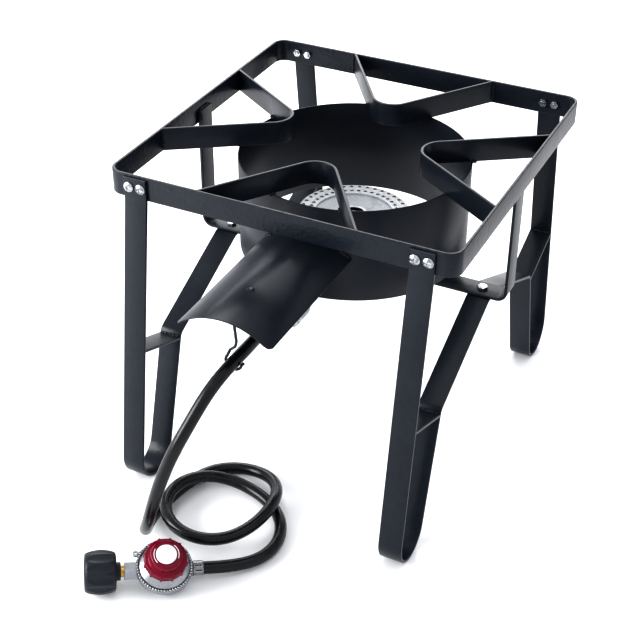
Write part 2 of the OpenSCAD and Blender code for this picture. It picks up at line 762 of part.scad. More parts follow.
module diaphragm() {
  color("#1b1c1e") at_regulator() translate([0, 0, dia_z]) cylinder(h = dia_t, r = reg_r - 0.6, $fn = 96);
}

module diaphragm_plate() {
  color("#9a9c9f") at_regulator() translate([0, 0, bonnet_z])
    cylinder(h = dia_plate_t, r = plate_r, $fn = 64);
}

module main_spring() {
  n = coil_turns * coil_steps;
  p = [for (i = [0 : n]) [coil_r * cos(i * 360 / coil_steps), coil_r * sin(i * 360 / coil_steps),
    coil_z + coil_pitch * i / coil_steps]];
  t = [for (i = [0 : n]) unit([-sin(i * 360 / coil_steps), cos(i * 360 / coil_steps),
    coil_pitch / (2 * PI * coil_r)])];
  color("#9a9c9f") at_regulator() sweep(p, t, coil_wire, 6);
}

module spring_seat() {
  color("#9a9c9f") at_regulator() translate([0, 0, seat_z])
    cylinder(h = seat_t, r = neck_in_r - 0.6, $fn = 48);
}

module regulator_bonnet() {
  lug_r = 3;
  lug_x = reg_r + 4;
  lug_w = 4;
  color("#b3b6b9") at_regulator() difference() {
    union() {
      translate([0, 0, bonnet_z]) cylinder(h = bonnet_t, r = reg_r, $fn = 96);
      translate([0, 0, bonnet_z + bonnet_t]) cylinder(h = cone_t, r1 = shell_r, r2 = tier_r, $fn = 96);
      translate([0, 0, bonnet_z]) cylinder(h = tier_top - bonnet_z, r = tier_r, $fn = 64);
      translate([0, 0, bonnet_z]) cylinder(h = neck_top - bonnet_z, r = neck_r, $fn = 64);
      rotate([0, 0, lug_turn]) {
        translate([reg_r - 2, -lug_w / 2, bonnet_z]) cube([lug_x - reg_r + 2, lug_w, bonnet_t]);
        translate([lug_x, 0, bonnet_z]) cylinder(h = bonnet_t, r = lug_r, $fn = 24);
      }
    }
    translate([0, 0, bonnet_z - cut]) cylinder(h = 4, r = 19, $fn = 64);
    translate([0, 0, bonnet_z]) cylinder(h = neck_top - neck_cap - bonnet_z, r = neck_in_r, $fn = 48);
    translate([0, 0, bonnet_z]) cylinder(h = neck_top, r = stem_r + run_fit, $fn = 32);
    rotate([0, 0, lug_turn]) translate([lug_x, 0, 0]) cylinder(h = neck_top, r = 1.3, $fn = 16);
  }
}

module adjusting_screw() {
  color("#9a9c9f") at_regulator() translate([0, 0, seat_z + seat_t])
    cylinder(h = knob_top - 1 - seat_z - seat_t, r = stem_r, $fn = 32);
}

module pressure_knob() {
  skirt_in = 18.6;
  skirt_roof = 1.5;
  nub_gap_r = 3;
  nub_gap_out = 1.8;
  color("#b5122a") at_regulator() difference() {
    union() {
      translate([0, 0, knob_z]) cylinder(h = knob_step_z - knob_z, r = knob_r, $fn = 96);
      translate([0, 0, knob_step_z]) cylinder(h = knob_top - knob_step_z, r1 = knob_step_r + 1.2,
        r2 = knob_step_r - 0.6, $fn = 72);
    }
    for (k = [0 : knob_lobes - 1]) rotate([0, 0, k * 360 / knob_lobes])
      translate([knob_r + nub_gap_out, 0, knob_z - cut])
        cylinder(h = knob_step_z - knob_z + cut, r = nub_gap_r, $fn = 24);
    translate([0, 0, knob_z - cut])
      cylinder(h = knob_step_z - skirt_roof - knob_z + cut, r = skirt_in, $fn = 64);
    translate([0, 0, knob_z]) cylinder(h = knob_top - knob_crown - knob_z, r = neck_r + 0.8, $fn = 64);
    translate([0, 0, knob_z]) cylinder(h = knob_top, r = stem_r, $fn = 32);
    translate([0, 0, knob_top - 1]) cylinder(h = 2, r = cap_disc_r, $fn = 64);
  }
}

module knob_cap() {
  color("#eceded") at_regulator() translate([0, 0, knob_top - 1]) cylinder(h = 1.8, r = cap_disc_r, $fn = 64);
}

module inlet_nipple() {
  nose_x = nut_back + tank_nut_l - 4;
  inner = nut_back + nut_wall;
  flange_l = 4;
  flange_r = 9.5;
  nose_l = 6;
  nose_r = 7.8;
  tip_r = 4.5;
  color("#c09a4c") difference() {
    union() {
      line_in(boss_x - boss_seat) cylinder(h = inner - boss_x + boss_seat, r = nipple_r, $fn = 32);
      line_in(inner) cylinder(h = flange_l, r = flange_r, $fn = 48);
      line_in(inner + flange_l) cylinder(h = nose_x - inner - flange_l - nose_l, r = nose_r, $fn = 40);
      line_in(nose_x - nose_l) cylinder(h = nose_l, r1 = nose_r, r2 = tip_r, $fn = 40);
    }
    line_in(boss_x - boss_seat - cut)
      cylinder(h = nose_x - boss_x + boss_seat + 2 * cut, r = gas_r, $fn = 24);
  }
}

module nipple_collar() {
  color("#2a2d33") difference() {
    line_in(collar_x) cylinder(h = collar_l, r = collar_r, $fn = 48);
    line_in(collar_x - cut) cylinder(h = collar_l + 2 * cut, r = nipple_r, $fn = 32);
  }
}

// The hand nut spins on the nipple between its collar and its nose flange.
module tank_nut() {
  lobes = 12;
  groove_r = 3.4;
  groove_out = 2.2;
  back_bevel = 4;
  mouth_bevel = 3;
  mouth_r = 16.8;
  color("#23262b") difference() {
    union() {
      line_in(nut_back) cylinder(h = back_bevel, r1 = tank_nut_r - back_bevel, r2 = tank_nut_r, $fn = 96);
      line_in(nut_back + back_bevel)
        cylinder(h = tank_nut_l - back_bevel - mouth_bevel, r = tank_nut_r, $fn = 96);
      line_in(nut_back + tank_nut_l - mouth_bevel)
        cylinder(h = mouth_bevel, r1 = tank_nut_r, r2 = tank_nut_r - mouth_bevel, $fn = 96);
    }
    for (k = [0 : lobes - 1]) line_in(nut_back - cut) rotate([0, 0, k * 360 / lobes])
      translate([tank_nut_r + groove_out, 0, 0]) cylinder(h = tank_nut_l + 2 * cut, r = groove_r, $fn = 24);
    line_in(nut_back + nut_wall) cylinder(h = tank_nut_l, r = mouth_r, $fn = 64);
    line_in(nut_back - cut) cylinder(h = nut_wall + 2 * cut, r = nipple_r + run_fit, $fn = 32);
  }
}

top_frame();
finger_front();
finger_back();
finger_left();
finger_right();
leg_left();
leg_right();
brace_fl();
brace_fr();
brace_bl();
brace_br();
hanger_bracket();
frame_screws();
frame_nuts();
bracket_bolts();
bracket_nuts();
wind_guard();
heat_shield();
shield_rivet();
hose_hook();
burner_bowl();
mixing_tube();
burner_cap();
burner_bolt();
burner_nut();
air_shutter();
shutter_nut();
orifice_fitting();
swivel_nut();
burner_ferrule();
hose_drop();
hose_loop();
regulator_ferrule();
regulator_housing();
diaphragm();
diaphragm_plate();
main_spring();
spring_seat();
regulator_bonnet();
adjusting_screw();
pressure_knob();
knob_cap();
inlet_nipple();
nipple_collar();
tank_nut();
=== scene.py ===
import math

import bmesh
import bpy
from mathutils import Matrix, Vector, noise


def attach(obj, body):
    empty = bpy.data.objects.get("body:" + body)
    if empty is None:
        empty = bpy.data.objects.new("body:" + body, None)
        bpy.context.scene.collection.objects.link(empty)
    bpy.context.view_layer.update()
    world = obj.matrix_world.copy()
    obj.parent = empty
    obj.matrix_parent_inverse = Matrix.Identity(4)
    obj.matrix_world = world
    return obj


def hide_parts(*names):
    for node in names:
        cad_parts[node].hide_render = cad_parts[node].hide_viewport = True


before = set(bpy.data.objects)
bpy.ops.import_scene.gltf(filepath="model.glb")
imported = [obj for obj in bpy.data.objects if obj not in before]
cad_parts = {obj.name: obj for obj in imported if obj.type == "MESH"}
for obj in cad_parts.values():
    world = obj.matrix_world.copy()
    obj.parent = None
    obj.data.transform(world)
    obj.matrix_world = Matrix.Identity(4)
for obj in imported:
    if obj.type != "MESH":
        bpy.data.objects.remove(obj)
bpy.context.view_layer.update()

MM = 0.001
STAND = "stand"

# Sizes are in mm, as in the part's source. SHIFT is how far the burner's axis stands behind the
# frame's origin.
SHIFT = 29.1097

# The stand, its bars and its legs.
FRAME_W = 374.0
STOVE_H = 362.0
BAR_W = 25.4
BAR_T = 3.2
BAR_EDGE_R = 0.75
HALF_T = BAR_T / 2
FRAME_IN = FRAME_W / 2 - BAR_T
FRAME_Z = STOVE_H - BAR_W
BAR_MID_Z = FRAME_Z + BAR_W / 2
CORNER_R = 15.0
LEG_INSET = 21.5
LEG_X = FRAME_W / 2 - LEG_INSET - BAR_W / 2
LEG_TOP = 360.0
SPLAY = math.radians(8.2)
LEAN = math.radians(15.2)
FOOT_R = 30.5
SPLAY_Z = 335.0
SPLAY_R = 12.0
KNEE_Z = 149.0
KNEE_R = 10.0
FLAT_HALF = 14.0
FLAT_R = 14.0
BRACE_TILT = math.radians(21.0)
BRACE_INSET = 10.0
BRACE_RUN = 60.0
HANGER_Z = 211.0
HANGER_DROP = 11.0
HANGER_R = 10.4

# Half the width of a pot finger at the frame, half the angle of its tip, and the tip's radius.
SPREAD = 84.0
FINGER = math.radians(34.0)
FINGER_R = 22.0

# The wind guard with its round-topped slot, the shield on it, and the hook under the shield.
GUARD_R = 124.0
GUARD_Z = 231.4
GUARD_T = 1.5
SLOT_HALF = 17.0
SLOT_Z = 245.0
SHIELD_R = 73.0
SHIELD_Z = 228.0
SHIELD_HALF = 50.0
SHIELD_REACH = 292.0
SHIELD_T = 1.2
SHIELD_CORNER = 7.0
SHIELD_GAP = 0.05
RIVET_INSET = 57.0
RIVET_Y = RIVET_INSET - SHIELD_REACH
WIRE_R = 1.5
EYE_R = 4.0
EYE_GAP = 0.3
HOOK_Y = -264.8
HOOK_GAP = 0.7

# The burner's cap and the gas line behind the shield.
CAP_TOP = HANGER_Z + 54.0
HUB_R = 11.5
PORTS = 40
PORT_RINGS = (57.0, 48.0)
BELL_Y = 168.3
SHUTTER_CLEAR = 0.03
TUBE_Z = 240.0
HOSE_Y = -222.0
HOSE_R = 6.5

# The regulator's place and lean, its rim's teeth, its knob, and the sleeve of its hose.
REG_AT = Vector((-45.4, -347.8, 16.9))
REG_TURN = math.radians(36.0)
REG_SLOPE = math.radians(6.0)
REG_TILT = math.radians(22.5)
TEETH = 58
TOOTH_AT = (27.1, 9.55)
TOOTH_SIZE = (1.05, 1.45, 0.90)
TOOTH_SLANT = 0.5
LOBES = 12
LOBE_FROM = 20.4
LOBE_FADE = 1.2
LOBE_FLAT = 0.7
LOBE_NUB = 0.95
NUB_HALF = 0.045
SLEEVE_X = 28.7
SLEEVE_L = 11.0
SLEEVE_BORE_R = 3.0
SLEEVE_SKIN_R = 5.0
SLEEVE_EDGE = 0.7
CRIMPS = 8
CRIMP_DEPTH = 1.5
CRIMP_END = 1.2

# The tank's hand nut; its back is at NUT_X along the gas line.
NUT_X = 47.9
NUT_L = 31.0
NUT_SKIN_R = 18.0
NUT_BELLY = 22.3
NUT_END = 19.0
RIBS = 12
SCOOP_DEPTH = 1.7
SCOOP_HALF = NUT_L / 2 - 2.5

# The camera, as solved from the photograph.
CAM_AT = (516.7, -1165.3, 991.3)
CAM_EL = math.radians(34.275)
CAM_AZ = math.radians(25.509)
CAM_ROLL = math.radians(0.568)
CAM_FOCAL_PX = 1345.4
SENSOR = 36.0
PHOTO_PX = 640


def place(p):
    """A point in the burner's own frame, in mm, to the shared frame in metres."""
    return Vector((p[0] * MM, (p[1] + SHIFT) * MM, p[2] * MM))


def quarter(k, x, y):
    """The point (x, y) after k quarter turns about the burner's axis."""
    c, n = math.cos(math.pi / 2 * k), math.sin(math.pi / 2 * k)
    return c * x - n * y, n * x + c * y


def make_camera():
    """The camera, at the photograph's viewing angle."""
    back = Vector((math.sin(CAM_AZ) * math.cos(CAM_EL), -math.cos(CAM_AZ) * math.cos(CAM_EL),
                   math.sin(CAM_EL)))
    right = Vector((0, 0, 1)).cross(back).normalized()
    up = back.cross(right)
    across = right * math.cos(CAM_ROLL) + up * math.sin(CAM_ROLL)
    above = up * math.cos(CAM_ROLL) - right * math.sin(CAM_ROLL)
    data = bpy.data.cameras.new("camera")
    data.sensor_width = SENSOR
    data.lens = SENSOR * CAM_FOCAL_PX / PHOTO_PX
    data.clip_start = 0.05
    data.clip_end = 30.0
    camera = bpy.data.objects.new("camera", data)
    bpy.context.scene.collection.objects.link(camera)
    turn = Matrix((across, above, back)).transposed().to_4x4()
    camera.matrix_world = Matrix.Translation(place(CAM_AT)) @ turn
    bpy.context.scene.camera = camera


make_camera()


# Materials. Colours are linear; fine, broad and wave_scale are noise scales per metre, depths are metres.
def ramp(nodes, links, source, low, high, at=(0.3, 0.7)):
    """Map a 0 to 1 value onto a range with soft ends."""
    m = nodes.new("ShaderNodeMapRange")
    m.interpolation_type = "SMOOTHSTEP"
    m.inputs["From Min"].default_value = at[0]
    m.inputs["From Max"].default_value = at[1]
    m.inputs["To Min"].default_value = low
    m.inputs["To Max"].default_value = high
    links.new(source, m.inputs["Value"])
    return m.outputs["Result"]


def grain(nodes, links, coords, scale, detail=4.0, rough=0.55):
    """Noise at a scale, from 0 to 1."""
    n = nodes.new("ShaderNodeTexNoise")
    n.inputs["Scale"].default_value = scale
    n.inputs["Detail"].default_value = detail
    n.inputs["Roughness"].default_value = rough
    links.new(coords, n.inputs["Vector"])
    return n.outputs["Fac"]


def bump_of(nodes, links, height, strength, depth):
    """A bump from a height between 0 and 1."""
    b = nodes.new("ShaderNodeBump")
    b.inputs["Strength"].default_value = strength
    b.inputs["Distance"].default_value = depth
    links.new(height, b.inputs["Height"])
    return b


def finish_of(name, colour, worn, rough, metal=0.0, fine=900.0, broad=18.0, bump=0.12, depth=0.0002,
              coat=0.0, coat_rough=0.15, ior=1.5, patch=(0.52, 0.72), grit=0.55, grit_scale=0.22,
              wave=0.0, wave_scale=230.0):
    """A surface with broad patches from colour to worn, fine grain, varied roughness and bump."""
    m = bpy.data.materials.new(name)
    m.use_nodes = True
    nodes, links = m.node_tree.nodes, m.node_tree.links
    bsdf = nodes["Principled BSDF"]
    coords = nodes.new("ShaderNodeTexCoord").outputs["Object"]
    big = grain(nodes, links, coords, broad, 5.0, 0.6)
    small = grain(nodes, links, coords, fine, 3.0, 0.5)
    speck = grain(nodes, links, coords, fine * grit_scale, 2.0, 0.5)
    mix = nodes.new("ShaderNodeMix")
    mix.data_type = "RGBA"
    mix.inputs["A"].default_value = (*colour, 1)
    mix.inputs["B"].default_value = (*worn, 1)
    links.new(ramp(nodes, links, big, 0.0, 1.0, patch), mix.inputs["Factor"])
    tint = nodes.new("ShaderNodeMix")
    tint.data_type = "RGBA"
    tint.blend_type = "MULTIPLY"
    tint.inputs["B"].default_value = (0.72, 0.72, 0.74, 1)
    links.new(mix.outputs["Result"], tint.inputs["A"])
    links.new(ramp(nodes, links, speck, 0.0, grit, (0.45, 0.75)), tint.inputs["Factor"])
    links.new(tint.outputs["Result"], bsdf.inputs["Base Color"])
    links.new(ramp(nodes, links, big, rough[0], rough[1], (0.35, 0.65)), bsdf.inputs["Roughness"])
    bsdf.inputs["Metallic"].default_value = metal
    bsdf.inputs["IOR"].default_value = ior
    bsdf.inputs["Coat Weight"].default_value = coat
    bsdf.inputs["Coat Roughness"].default_value = coat_rough
    skin = bump_of(nodes, links, small, bump, depth)
    if wave > 0:
        slow = grain(nodes, links, coords, wave_scale, 2.0, 0.5)
        hollows = ramp(nodes, links, slow, 0.0, 1.0, (0.35, 0.75))
        dents = bump_of(nodes, links, hollows, 1.0, wave)
        links.new(dents.outputs["Normal"], skin.inputs["Normal"])
    links.new(skin.outputs["Normal"], bsdf.inputs["Normal"])
    return m


def black_coat(name, wave):
    """The stand's black paint; wave is the depth of its dimples."""
    return finish_of(name, (0.0110, 0.0145, 0.0210), (0.0145, 0.0185, 0.0265), (0.30, 0.36), fine=650,
                     broad=14, bump=0.20, coat=0.06, coat_rough=0.12, ior=1.34, wave=wave)


BLACK = black_coat("black_steel", 0.00004)
FRAME_BLACK = black_coat("black_frame", 0.00014)
SHEET_BLACK = black_coat("black_sheet", 0.0)
WELD = finish_of("weld_black", (0.008, 0.009, 0.011), (0.018, 0.019, 0.022), (0.35, 0.5), fine=700,
                 broad=120, bump=0.45, depth=0.0006, ior=1.4)
GUARD = finish_of("guard_black", (0.0085, 0.0115, 0.0180), (0.0110, 0.0145, 0.0220), (0.34, 0.42),
                  fine=1200, broad=12, bump=0.08, depth=0.00015, ior=1.36)
ZINC = finish_of("zinc_steel", (0.50, 0.51, 0.54), (0.24, 0.245, 0.26), (0.18, 0.32), metal=1.0,
                 fine=1400, broad=240, bump=0.10, depth=0.0001, patch=(0.48, 0.62))
SILVER = finish_of("silver_casting", (0.84, 0.855, 0.87), (0.70, 0.715, 0.735), (0.34, 0.50), metal=0.30,
                   fine=760, broad=60, bump=0.9, depth=0.0009, grit=0.8, grit_scale=0.75)
RECESS = finish_of("silver_recess", (0.60, 0.62, 0.645), (0.44, 0.46, 0.485), (0.40, 0.55), metal=0.30,
                   fine=700, broad=60, bump=0.85, depth=0.0008, grit=1.0, grit_scale=0.8)
BODY_IRON = finish_of("silver_iron", (0.30, 0.31, 0.325), (0.19, 0.195, 0.205), (0.42, 0.58), metal=0.35,
                      fine=620, broad=50, bump=0.8, depth=0.0008, grit=0.9, grit_scale=0.7)
BRASS = finish_of("brass", (0.45, 0.30, 0.10), (0.30, 0.19, 0.06), (0.14, 0.26), metal=1.0, fine=1500,
                  broad=120, bump=0.06, depth=0.0001)
# Painted shade: a near-black put where holes and slots fall into shade.
SHADE_BLACK = finish_of("painted_shade_black", (0.012, 0.012, 0.013), (0.030, 0.030, 0.031), (0.6, 0.75), fine=900, broad=200,
                 bump=0.2, ior=1.35)
# Painted shade in dark metal: on the bolt in the hub's shaded hole, and on the lip between the rim's teeth.
SHADE_METAL = finish_of("painted_shade_metal", (0.16, 0.16, 0.17), (0.09, 0.09, 0.095), (0.25, 0.40), metal=1.0,
                      fine=1200, broad=90, bump=0.10, depth=0.0001)
NICKEL = finish_of("crimp_steel", (0.27, 0.275, 0.285), (0.16, 0.165, 0.17), (0.10, 0.18), metal=1.0,
                   fine=1500, broad=150, bump=0.10, depth=0.0001)
CASTING = finish_of("zinc_casting", (0.29, 0.305, 0.325), (0.20, 0.21, 0.23), (0.28, 0.42), metal=0.9,
                    fine=900, broad=80, bump=0.35, depth=0.0003, grit=0.9, grit_scale=0.6)
# The bonnet's zinc is a lighter copy of the housing's; the lightness is painted light, for the light on the
# bonnet.
BONNET = finish_of("zinc_bonnet", (0.40, 0.415, 0.435), (0.31, 0.325, 0.345), (0.22, 0.34), metal=0.95,
                   fine=900, broad=60, bump=0.20, depth=0.0002, grit=0.7, grit_scale=0.5)
RED = finish_of("red_plastic", (0.150, 0.0010, 0.0180), (0.185, 0.0020, 0.0240), (0.22, 0.32), fine=900,
                broad=70, bump=0.08, depth=0.0001, ior=1.34)
WHITE = finish_of("white_plastic", (0.78, 0.78, 0.79), (0.70, 0.70, 0.715), (0.25, 0.38), fine=900,
                  broad=120, bump=0.05, depth=0.0001)
NUT = finish_of("black_plastic", (0.0150, 0.0180, 0.0240), (0.0220, 0.0260, 0.0340), (0.36, 0.48),
                fine=1300, broad=60, bump=0.16, depth=0.0002, ior=1.36)
RUBBER = finish_of("rubber", (0.0075, 0.0082, 0.0100), (0.0125, 0.0135, 0.0160), (0.20, 0.30), fine=1100,
                   broad=70, bump=0.13, depth=0.0002, coat=0.05, ior=1.38)


# Mesh helpers. Sizes that they take are in mm. Points of a CAD mesh closer than ONE_POINT, in metres,
# are one, and its faces that bend less than ONE_FACE are one flat face.
ONE_POINT = 2e-6
ONE_FACE = math.radians(0.6)


def new_mesh(name, verts, faces, material, smooth=True):
    """A new object from points in metres."""
    mesh = bpy.data.meshes.new(name)
    mesh.from_pydata([tuple(v) for v in verts], [], faces)
    mesh.materials.append(material)
    for p in mesh.polygons:
        p.use_smooth = smooth
    mesh.update()
    ob = bpy.data.objects.new(name, mesh)
    bpy.context.scene.collection.objects.link(ob)
    return ob


def outward(ob):
    """Turn all faces outwards."""
    bm = bmesh.new()
    bm.from_mesh(ob.data)
    bmesh.ops.recalc_face_normals(bm, faces=bm.faces)
    bm.to_mesh(ob.data)
    bm.free()


def mark_sharp(ob, degrees):
    """Edges that bend more than this stay crisp under smooth shading."""
    bm = bmesh.new()
    bm.from_mesh(ob.data)
    limit = math.radians(degrees)
    for e in bm.edges:
        if len(e.link_faces) == 2 and e.calc_face_angle(0.0) > limit:
            e.smooth = False
    bm.to_mesh(ob.data)
    bm.free()


def bevel(ob, width, segments=2, degrees=35.0):
    """Round the edges that bend more than degrees."""
    m = ob.modifiers.new("bevel", "BEVEL")
    m.width = width * MM
    m.segments = segments
    m.limit_method = "ANGLE"
    m.angle_limit = math.radians(degrees)
    w = ob.modifiers.new("weighted", "WEIGHTED_NORMAL")
    w.keep_sharp = True
    w.weight = 80


def adopt(ob, slot, body, *nodes):
    """Let a piece ride on a body and stand for nodes; slot is not used."""
    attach(ob, body)
    if nodes:
        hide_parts(*nodes)
    return ob


def dress(node, material, slot, body, width=0.3, degrees=35.0):
    """A copy of a CAD node's mesh with broken edges, in its place."""
    source = bpy.data.objects[node]
    bm = bmesh.new()
    bm.from_mesh(source.data)
    bmesh.ops.remove_doubles(bm, verts=bm.verts, dist=ONE_POINT)
    bmesh.ops.dissolve_limit(bm, angle_limit=ONE_FACE, verts=bm.verts, edges=bm.edges)
    mesh = bpy.data.meshes.new(node + "_dressed")
    bm.to_mesh(mesh)
    bm.free()
    mesh.materials.clear()
    mesh.materials.append(material)
    for p in mesh.polygons:
        p.use_smooth = True
    ob = bpy.data.objects.new(node + "_dressed", mesh)
    bpy.context.scene.collection.objects.link(ob)
    ob.matrix_world = source.matrix_world.copy()
    if width > 0:
        bevel(ob, width, degrees=degrees)
    mark_sharp(ob, 32)
    return adopt(ob, slot, body, node)


def heading(a, b):
    """The direction from a to b."""
    return math.atan2(b[1] - a[1], b[0] - a[0])


def wrapped(a):
    """The same angle between minus half a turn and half a turn."""
    while a > math.pi:
        a -= 2 * math.pi
    while a <= -math.pi:
        a += 2 * math.pi
    return a


def stations(points, radii, step=6.0, apart=0.02):
    """Stations (x, y, heading) along a polyline with rounded corners."""
    out = [(points[0][0], points[0][1], heading(points[0], points[1]))]
    for i in range(1, len(points) - 1):
        p0, p1, p2 = points[i - 1], points[i], points[i + 1]
        a = heading(p0, p1)
        bend = wrapped(heading(p1, p2) - a)
        s = -1 if bend < 0 else 1
        r = radii[i]
        t = r * math.tan(abs(bend) / 2)
        q = (p1[0] - t * math.cos(a), p1[1] - t * math.sin(a))
        c = (q[0] - s * r * math.sin(a), q[1] + s * r * math.cos(a))
        n = max(2, math.ceil(math.degrees(abs(bend)) / step))
        for k in range(n + 1):
            h = a + bend * k / n
            x, y = c[0] + s * r * math.sin(h), c[1] - s * r * math.cos(h)
            if math.hypot(x - out[-1][0], y - out[-1][1]) > apart:
                out.append((x, y, h))
    out.append((points[-1][0], points[-1][1], heading(points[-2], points[-1])))
    return out


def bar_section(steps=3):
    """A flat bar's rounded section: (across the thickness, along the width)."""
    r = BAR_EDGE_R
    corners = ((HALF_T - r, BAR_W / 2 - r, 0), (-HALF_T + r, BAR_W / 2 - r, 90),
               (-HALF_T + r, -BAR_W / 2 + r, 180), (HALF_T - r, -BAR_W / 2 + r, 270))
    ring = []
    for cx, cy, a0 in corners:
        for i in range(steps + 1):
            a = math.radians(a0 + 90 * i / steps)
            ring.append((cx + r * math.cos(a), cy + r * math.sin(a)))
    return ring


def bar(name, path, mapping, closed=False, trim=None):
    """Sweep a flat bar's section along stations; mapping takes (x, y, across) to mm."""
    section = bar_section()
    n = len(section)
    verts, faces = [], []
    for i, (x, y, h) in enumerate(path):
        for t, w in section:
            px, py = x - t * math.sin(h), y + t * math.cos(h)
            if trim and i in (0, len(path) - 1):
                px, py = trim(i, px, py, h)
            verts.append(place(mapping(px, py, w)))
    rows = len(path)
    for i in range(rows if closed else rows - 1):
        j = (i + 1) % rows
        for k in range(n):
            m = (k + 1) % n
            faces.append((i * n + k, i * n + m, j * n + m, j * n + k))
    if not closed:
        faces.append(tuple(range(n)))
        faces.append(tuple(reversed(range((rows - 1) * n, rows * n))))
    ob = new_mesh(name, verts, faces, BLACK)
    outward(ob)
    mark_sharp(ob, 60)
    return ob


def turned(name, profile, matrix, material, steps=96, radius=None, closed=True):
    """Turn an (r, z) profile about z; radius(r, z, angle) may shape it."""
    n = len(profile)
    verts, faces = [], []
    for i in range(steps):
        a = 2 * math.pi * i / steps
        for r, z in profile:
            rr = radius(r, z, a) if radius else r
            verts.append(place(matrix @ Vector((rr * math.cos(a), rr * math.sin(a), z))))
    for i in range(steps):
        j = (i + 1) % steps
        for k in range(n if closed else n - 1):
            m = (k + 1) % n
            faces.append((i * n + k, j * n + k, j * n + m, i * n + m))
    ob = new_mesh(name, verts, faces, material)
    bm = bmesh.new()
    bm.from_mesh(ob.data)
    bmesh.ops.remove_doubles(bm, verts=bm.verts, dist=1e-6)
    bmesh.ops.dissolve_degenerate(bm, edges=bm.edges, dist=1e-7)
    bmesh.ops.recalc_face_normals(bm, faces=bm.faces)
    bm.to_mesh(ob.data)
    bm.free()
    return ob


# The hose, along the same points as in the part's source.
GAS_DIR = Vector((math.cos(REG_TURN) * math.cos(REG_SLOPE), math.sin(REG_TURN) * math.cos(REG_SLOPE),
                  -math.sin(REG_SLOPE)))
HOSE_END = REG_AT + GAS_DIR * (SLEEVE_X + SLEEVE_L)
HOSE_STRAIGHT = 26
HOSE_POINTS = [
    (0, HOSE_Y, TUBE_Z), (0, -252, 240), (-6, -279, 233), (-14, -302, 217), (-22, -321, 193),
    (-33, -335, 166), (-43, -343, 135), (-53, -344, 103), (-63, -340, 73), (-75, -330, 46), (-88, -314, 25),
    (-98, -293, 12), (-104, -266, 7.3), (-101, -235, 6.6), (-95, -204, 6.8), (-82, -179, 6.6),
    (-58, -165, 7.4), (-29, -164, 9.7), (-3, -179, 15.4), (12, -211, 22.4), (9, -248, 18.8),
    (-8, -281, 16.5), (-36, -296, 17.3), (-67, -293, 19), (-91, -274, 20.5), (-100, -244, 21),
    (-91, -213, 19.3), (-64, -191, 12.5), (-22, -191, 6.6), (20, -213, 6.8), (38, -252, 6.7),
    (31, -287, 8.5), tuple(HOSE_END + HOSE_STRAIGHT * GAS_DIR), tuple(HOSE_END)]
SPAN_STEPS = 8


def smooth_curve(points, m):
    """The same smooth curve as the part's source, with m stations to a span."""
    p = [Vector(q) for q in points]
    p = [2 * p[0] - p[1]] + p + [2 * p[-1] - p[-2]]
    out = []
    for i in range(len(points) - 1):
        for k in range(m):
            t = k / m
            w = ((1 - t) ** 3, 3 * t ** 3 - 6 * t * t + 4, -3 * t ** 3 + 3 * t * t + 3 * t + 1, t ** 3)
            out.append(sum((p[i + j] * w[j] for j in range(4)), Vector()) / 6)
    out.append(Vector(points[-1]))
    return out


def wire(name, points, radius, material, resolution=8):
    """A round wire or hose along points."""
    data = bpy.data.curves.new(name, "CURVE")
    data.dimensions = "3D"
    data.bevel_depth = radius * MM
    data.bevel_resolution = resolution
    data.use_fill_caps = True
    data.twist_mode = "MINIMUM"
    line = data.splines.new("POLY")
    line.points.add(len(points) - 1)
    for q, p in zip(line.points, points):
        q.co = (*place(p), 1)
    line.use_smooth = True
    data.materials.append(material)
    ob = bpy.data.objects.new(name, data)
    bpy.context.scene.collection.objects.link(ob)
    return ob


hose_line = smooth_curve(HOSE_POINTS, SPAN_STEPS)
hose = wire("hose", hose_line, HOSE_R, RUBBER)
adopt(hose, "rubber", STAND, "hose_drop", "hose_loop")

# The legs: each is one bar, from the frame down to a round foot, up to the hanger and down again.
FOOT_MID = FOOT_R - HALF_T
LEG_Y = FRAME_W / 2 + HALF_T
foot_out_z = FOOT_R + FOOT_MID * math.sin(SPLAY)
foot_out_y = LEG_Y + (SPLAY_Z - foot_out_z) * math.tan(SPLAY)
foot_y = foot_out_y - FOOT_MID * math.cos(SPLAY)
foot_in_y = foot_y - FOOT_MID * math.cos(LEAN)
foot_in_z = FOOT_R - FOOT_MID * math.sin(LEAN)
KNEE_Y = foot_in_y - (KNEE_Z - foot_in_z) * math.tan(LEAN)
FLAT_Z = HANGER_Z - BAR_T - HALF_T
leg_half = [(LEG_Y, LEG_TOP), (LEG_Y, SPLAY_Z),
            (foot_out_y + (foot_out_z - HALF_T) * math.tan(SPLAY), HALF_T),
            (foot_in_y + (foot_in_z - HALF_T) * math.tan(LEAN), HALF_T),
            (KNEE_Y, KNEE_Z), (FLAT_HALF, FLAT_Z)]
leg_r = [0, SPLAY_R, FOOT_MID, FOOT_MID, KNEE_R, FLAT_R]
leg_path = stations(leg_half + [(-y, z) for y, z in reversed(leg_half)], leg_r + leg_r[::-1])
for s, side in ((-1, "left"), (1, "right")):
    leg = bar("leg_%s_bar" % side, leg_path, lambda y, z, w, s=s: (s * LEG_X + w, y, z))
    adopt(leg, "black_steel", STAND, "leg_" + side)

# The braces, with their ends cut to the leaning faces of the leg.
LEG_IN_Y = KNEE_Y + KNEE_Z * math.tan(LEAN) + HALF_T / math.cos(LEAN)
LEG_OUT_Y = LEG_Y + SPLAY_Z * math.tan(SPLAY) - HALF_T / math.cos(SPLAY)
brace_z = (KNEE_Z - BRACE_INSET * math.tan((math.pi / 2 - LEAN) / 3) + HALF_T
           - HALF_T / math.cos(BRACE_TILT))
brace_y = KNEE_Y + HALF_T / math.cos(LEAN) + BRACE_INSET * math.tan(LEAN)
brace_out_y = brace_y + BRACE_RUN
brace_out_z = brace_z + BRACE_RUN * math.tan(BRACE_TILT)


def brace_trim(i, y, z, h):
    """Move a point of a brace's end along the brace, to the leg's inner or outer face."""
    face, t = (LEG_IN_Y, math.tan(LEAN)) if i == 0 else (LEG_OUT_Y, math.tan(SPLAY))
    d = (face - t * z - y) / (math.cos(h) + t * math.sin(h))
    return y + d * math.cos(h), z + d * math.sin(h)


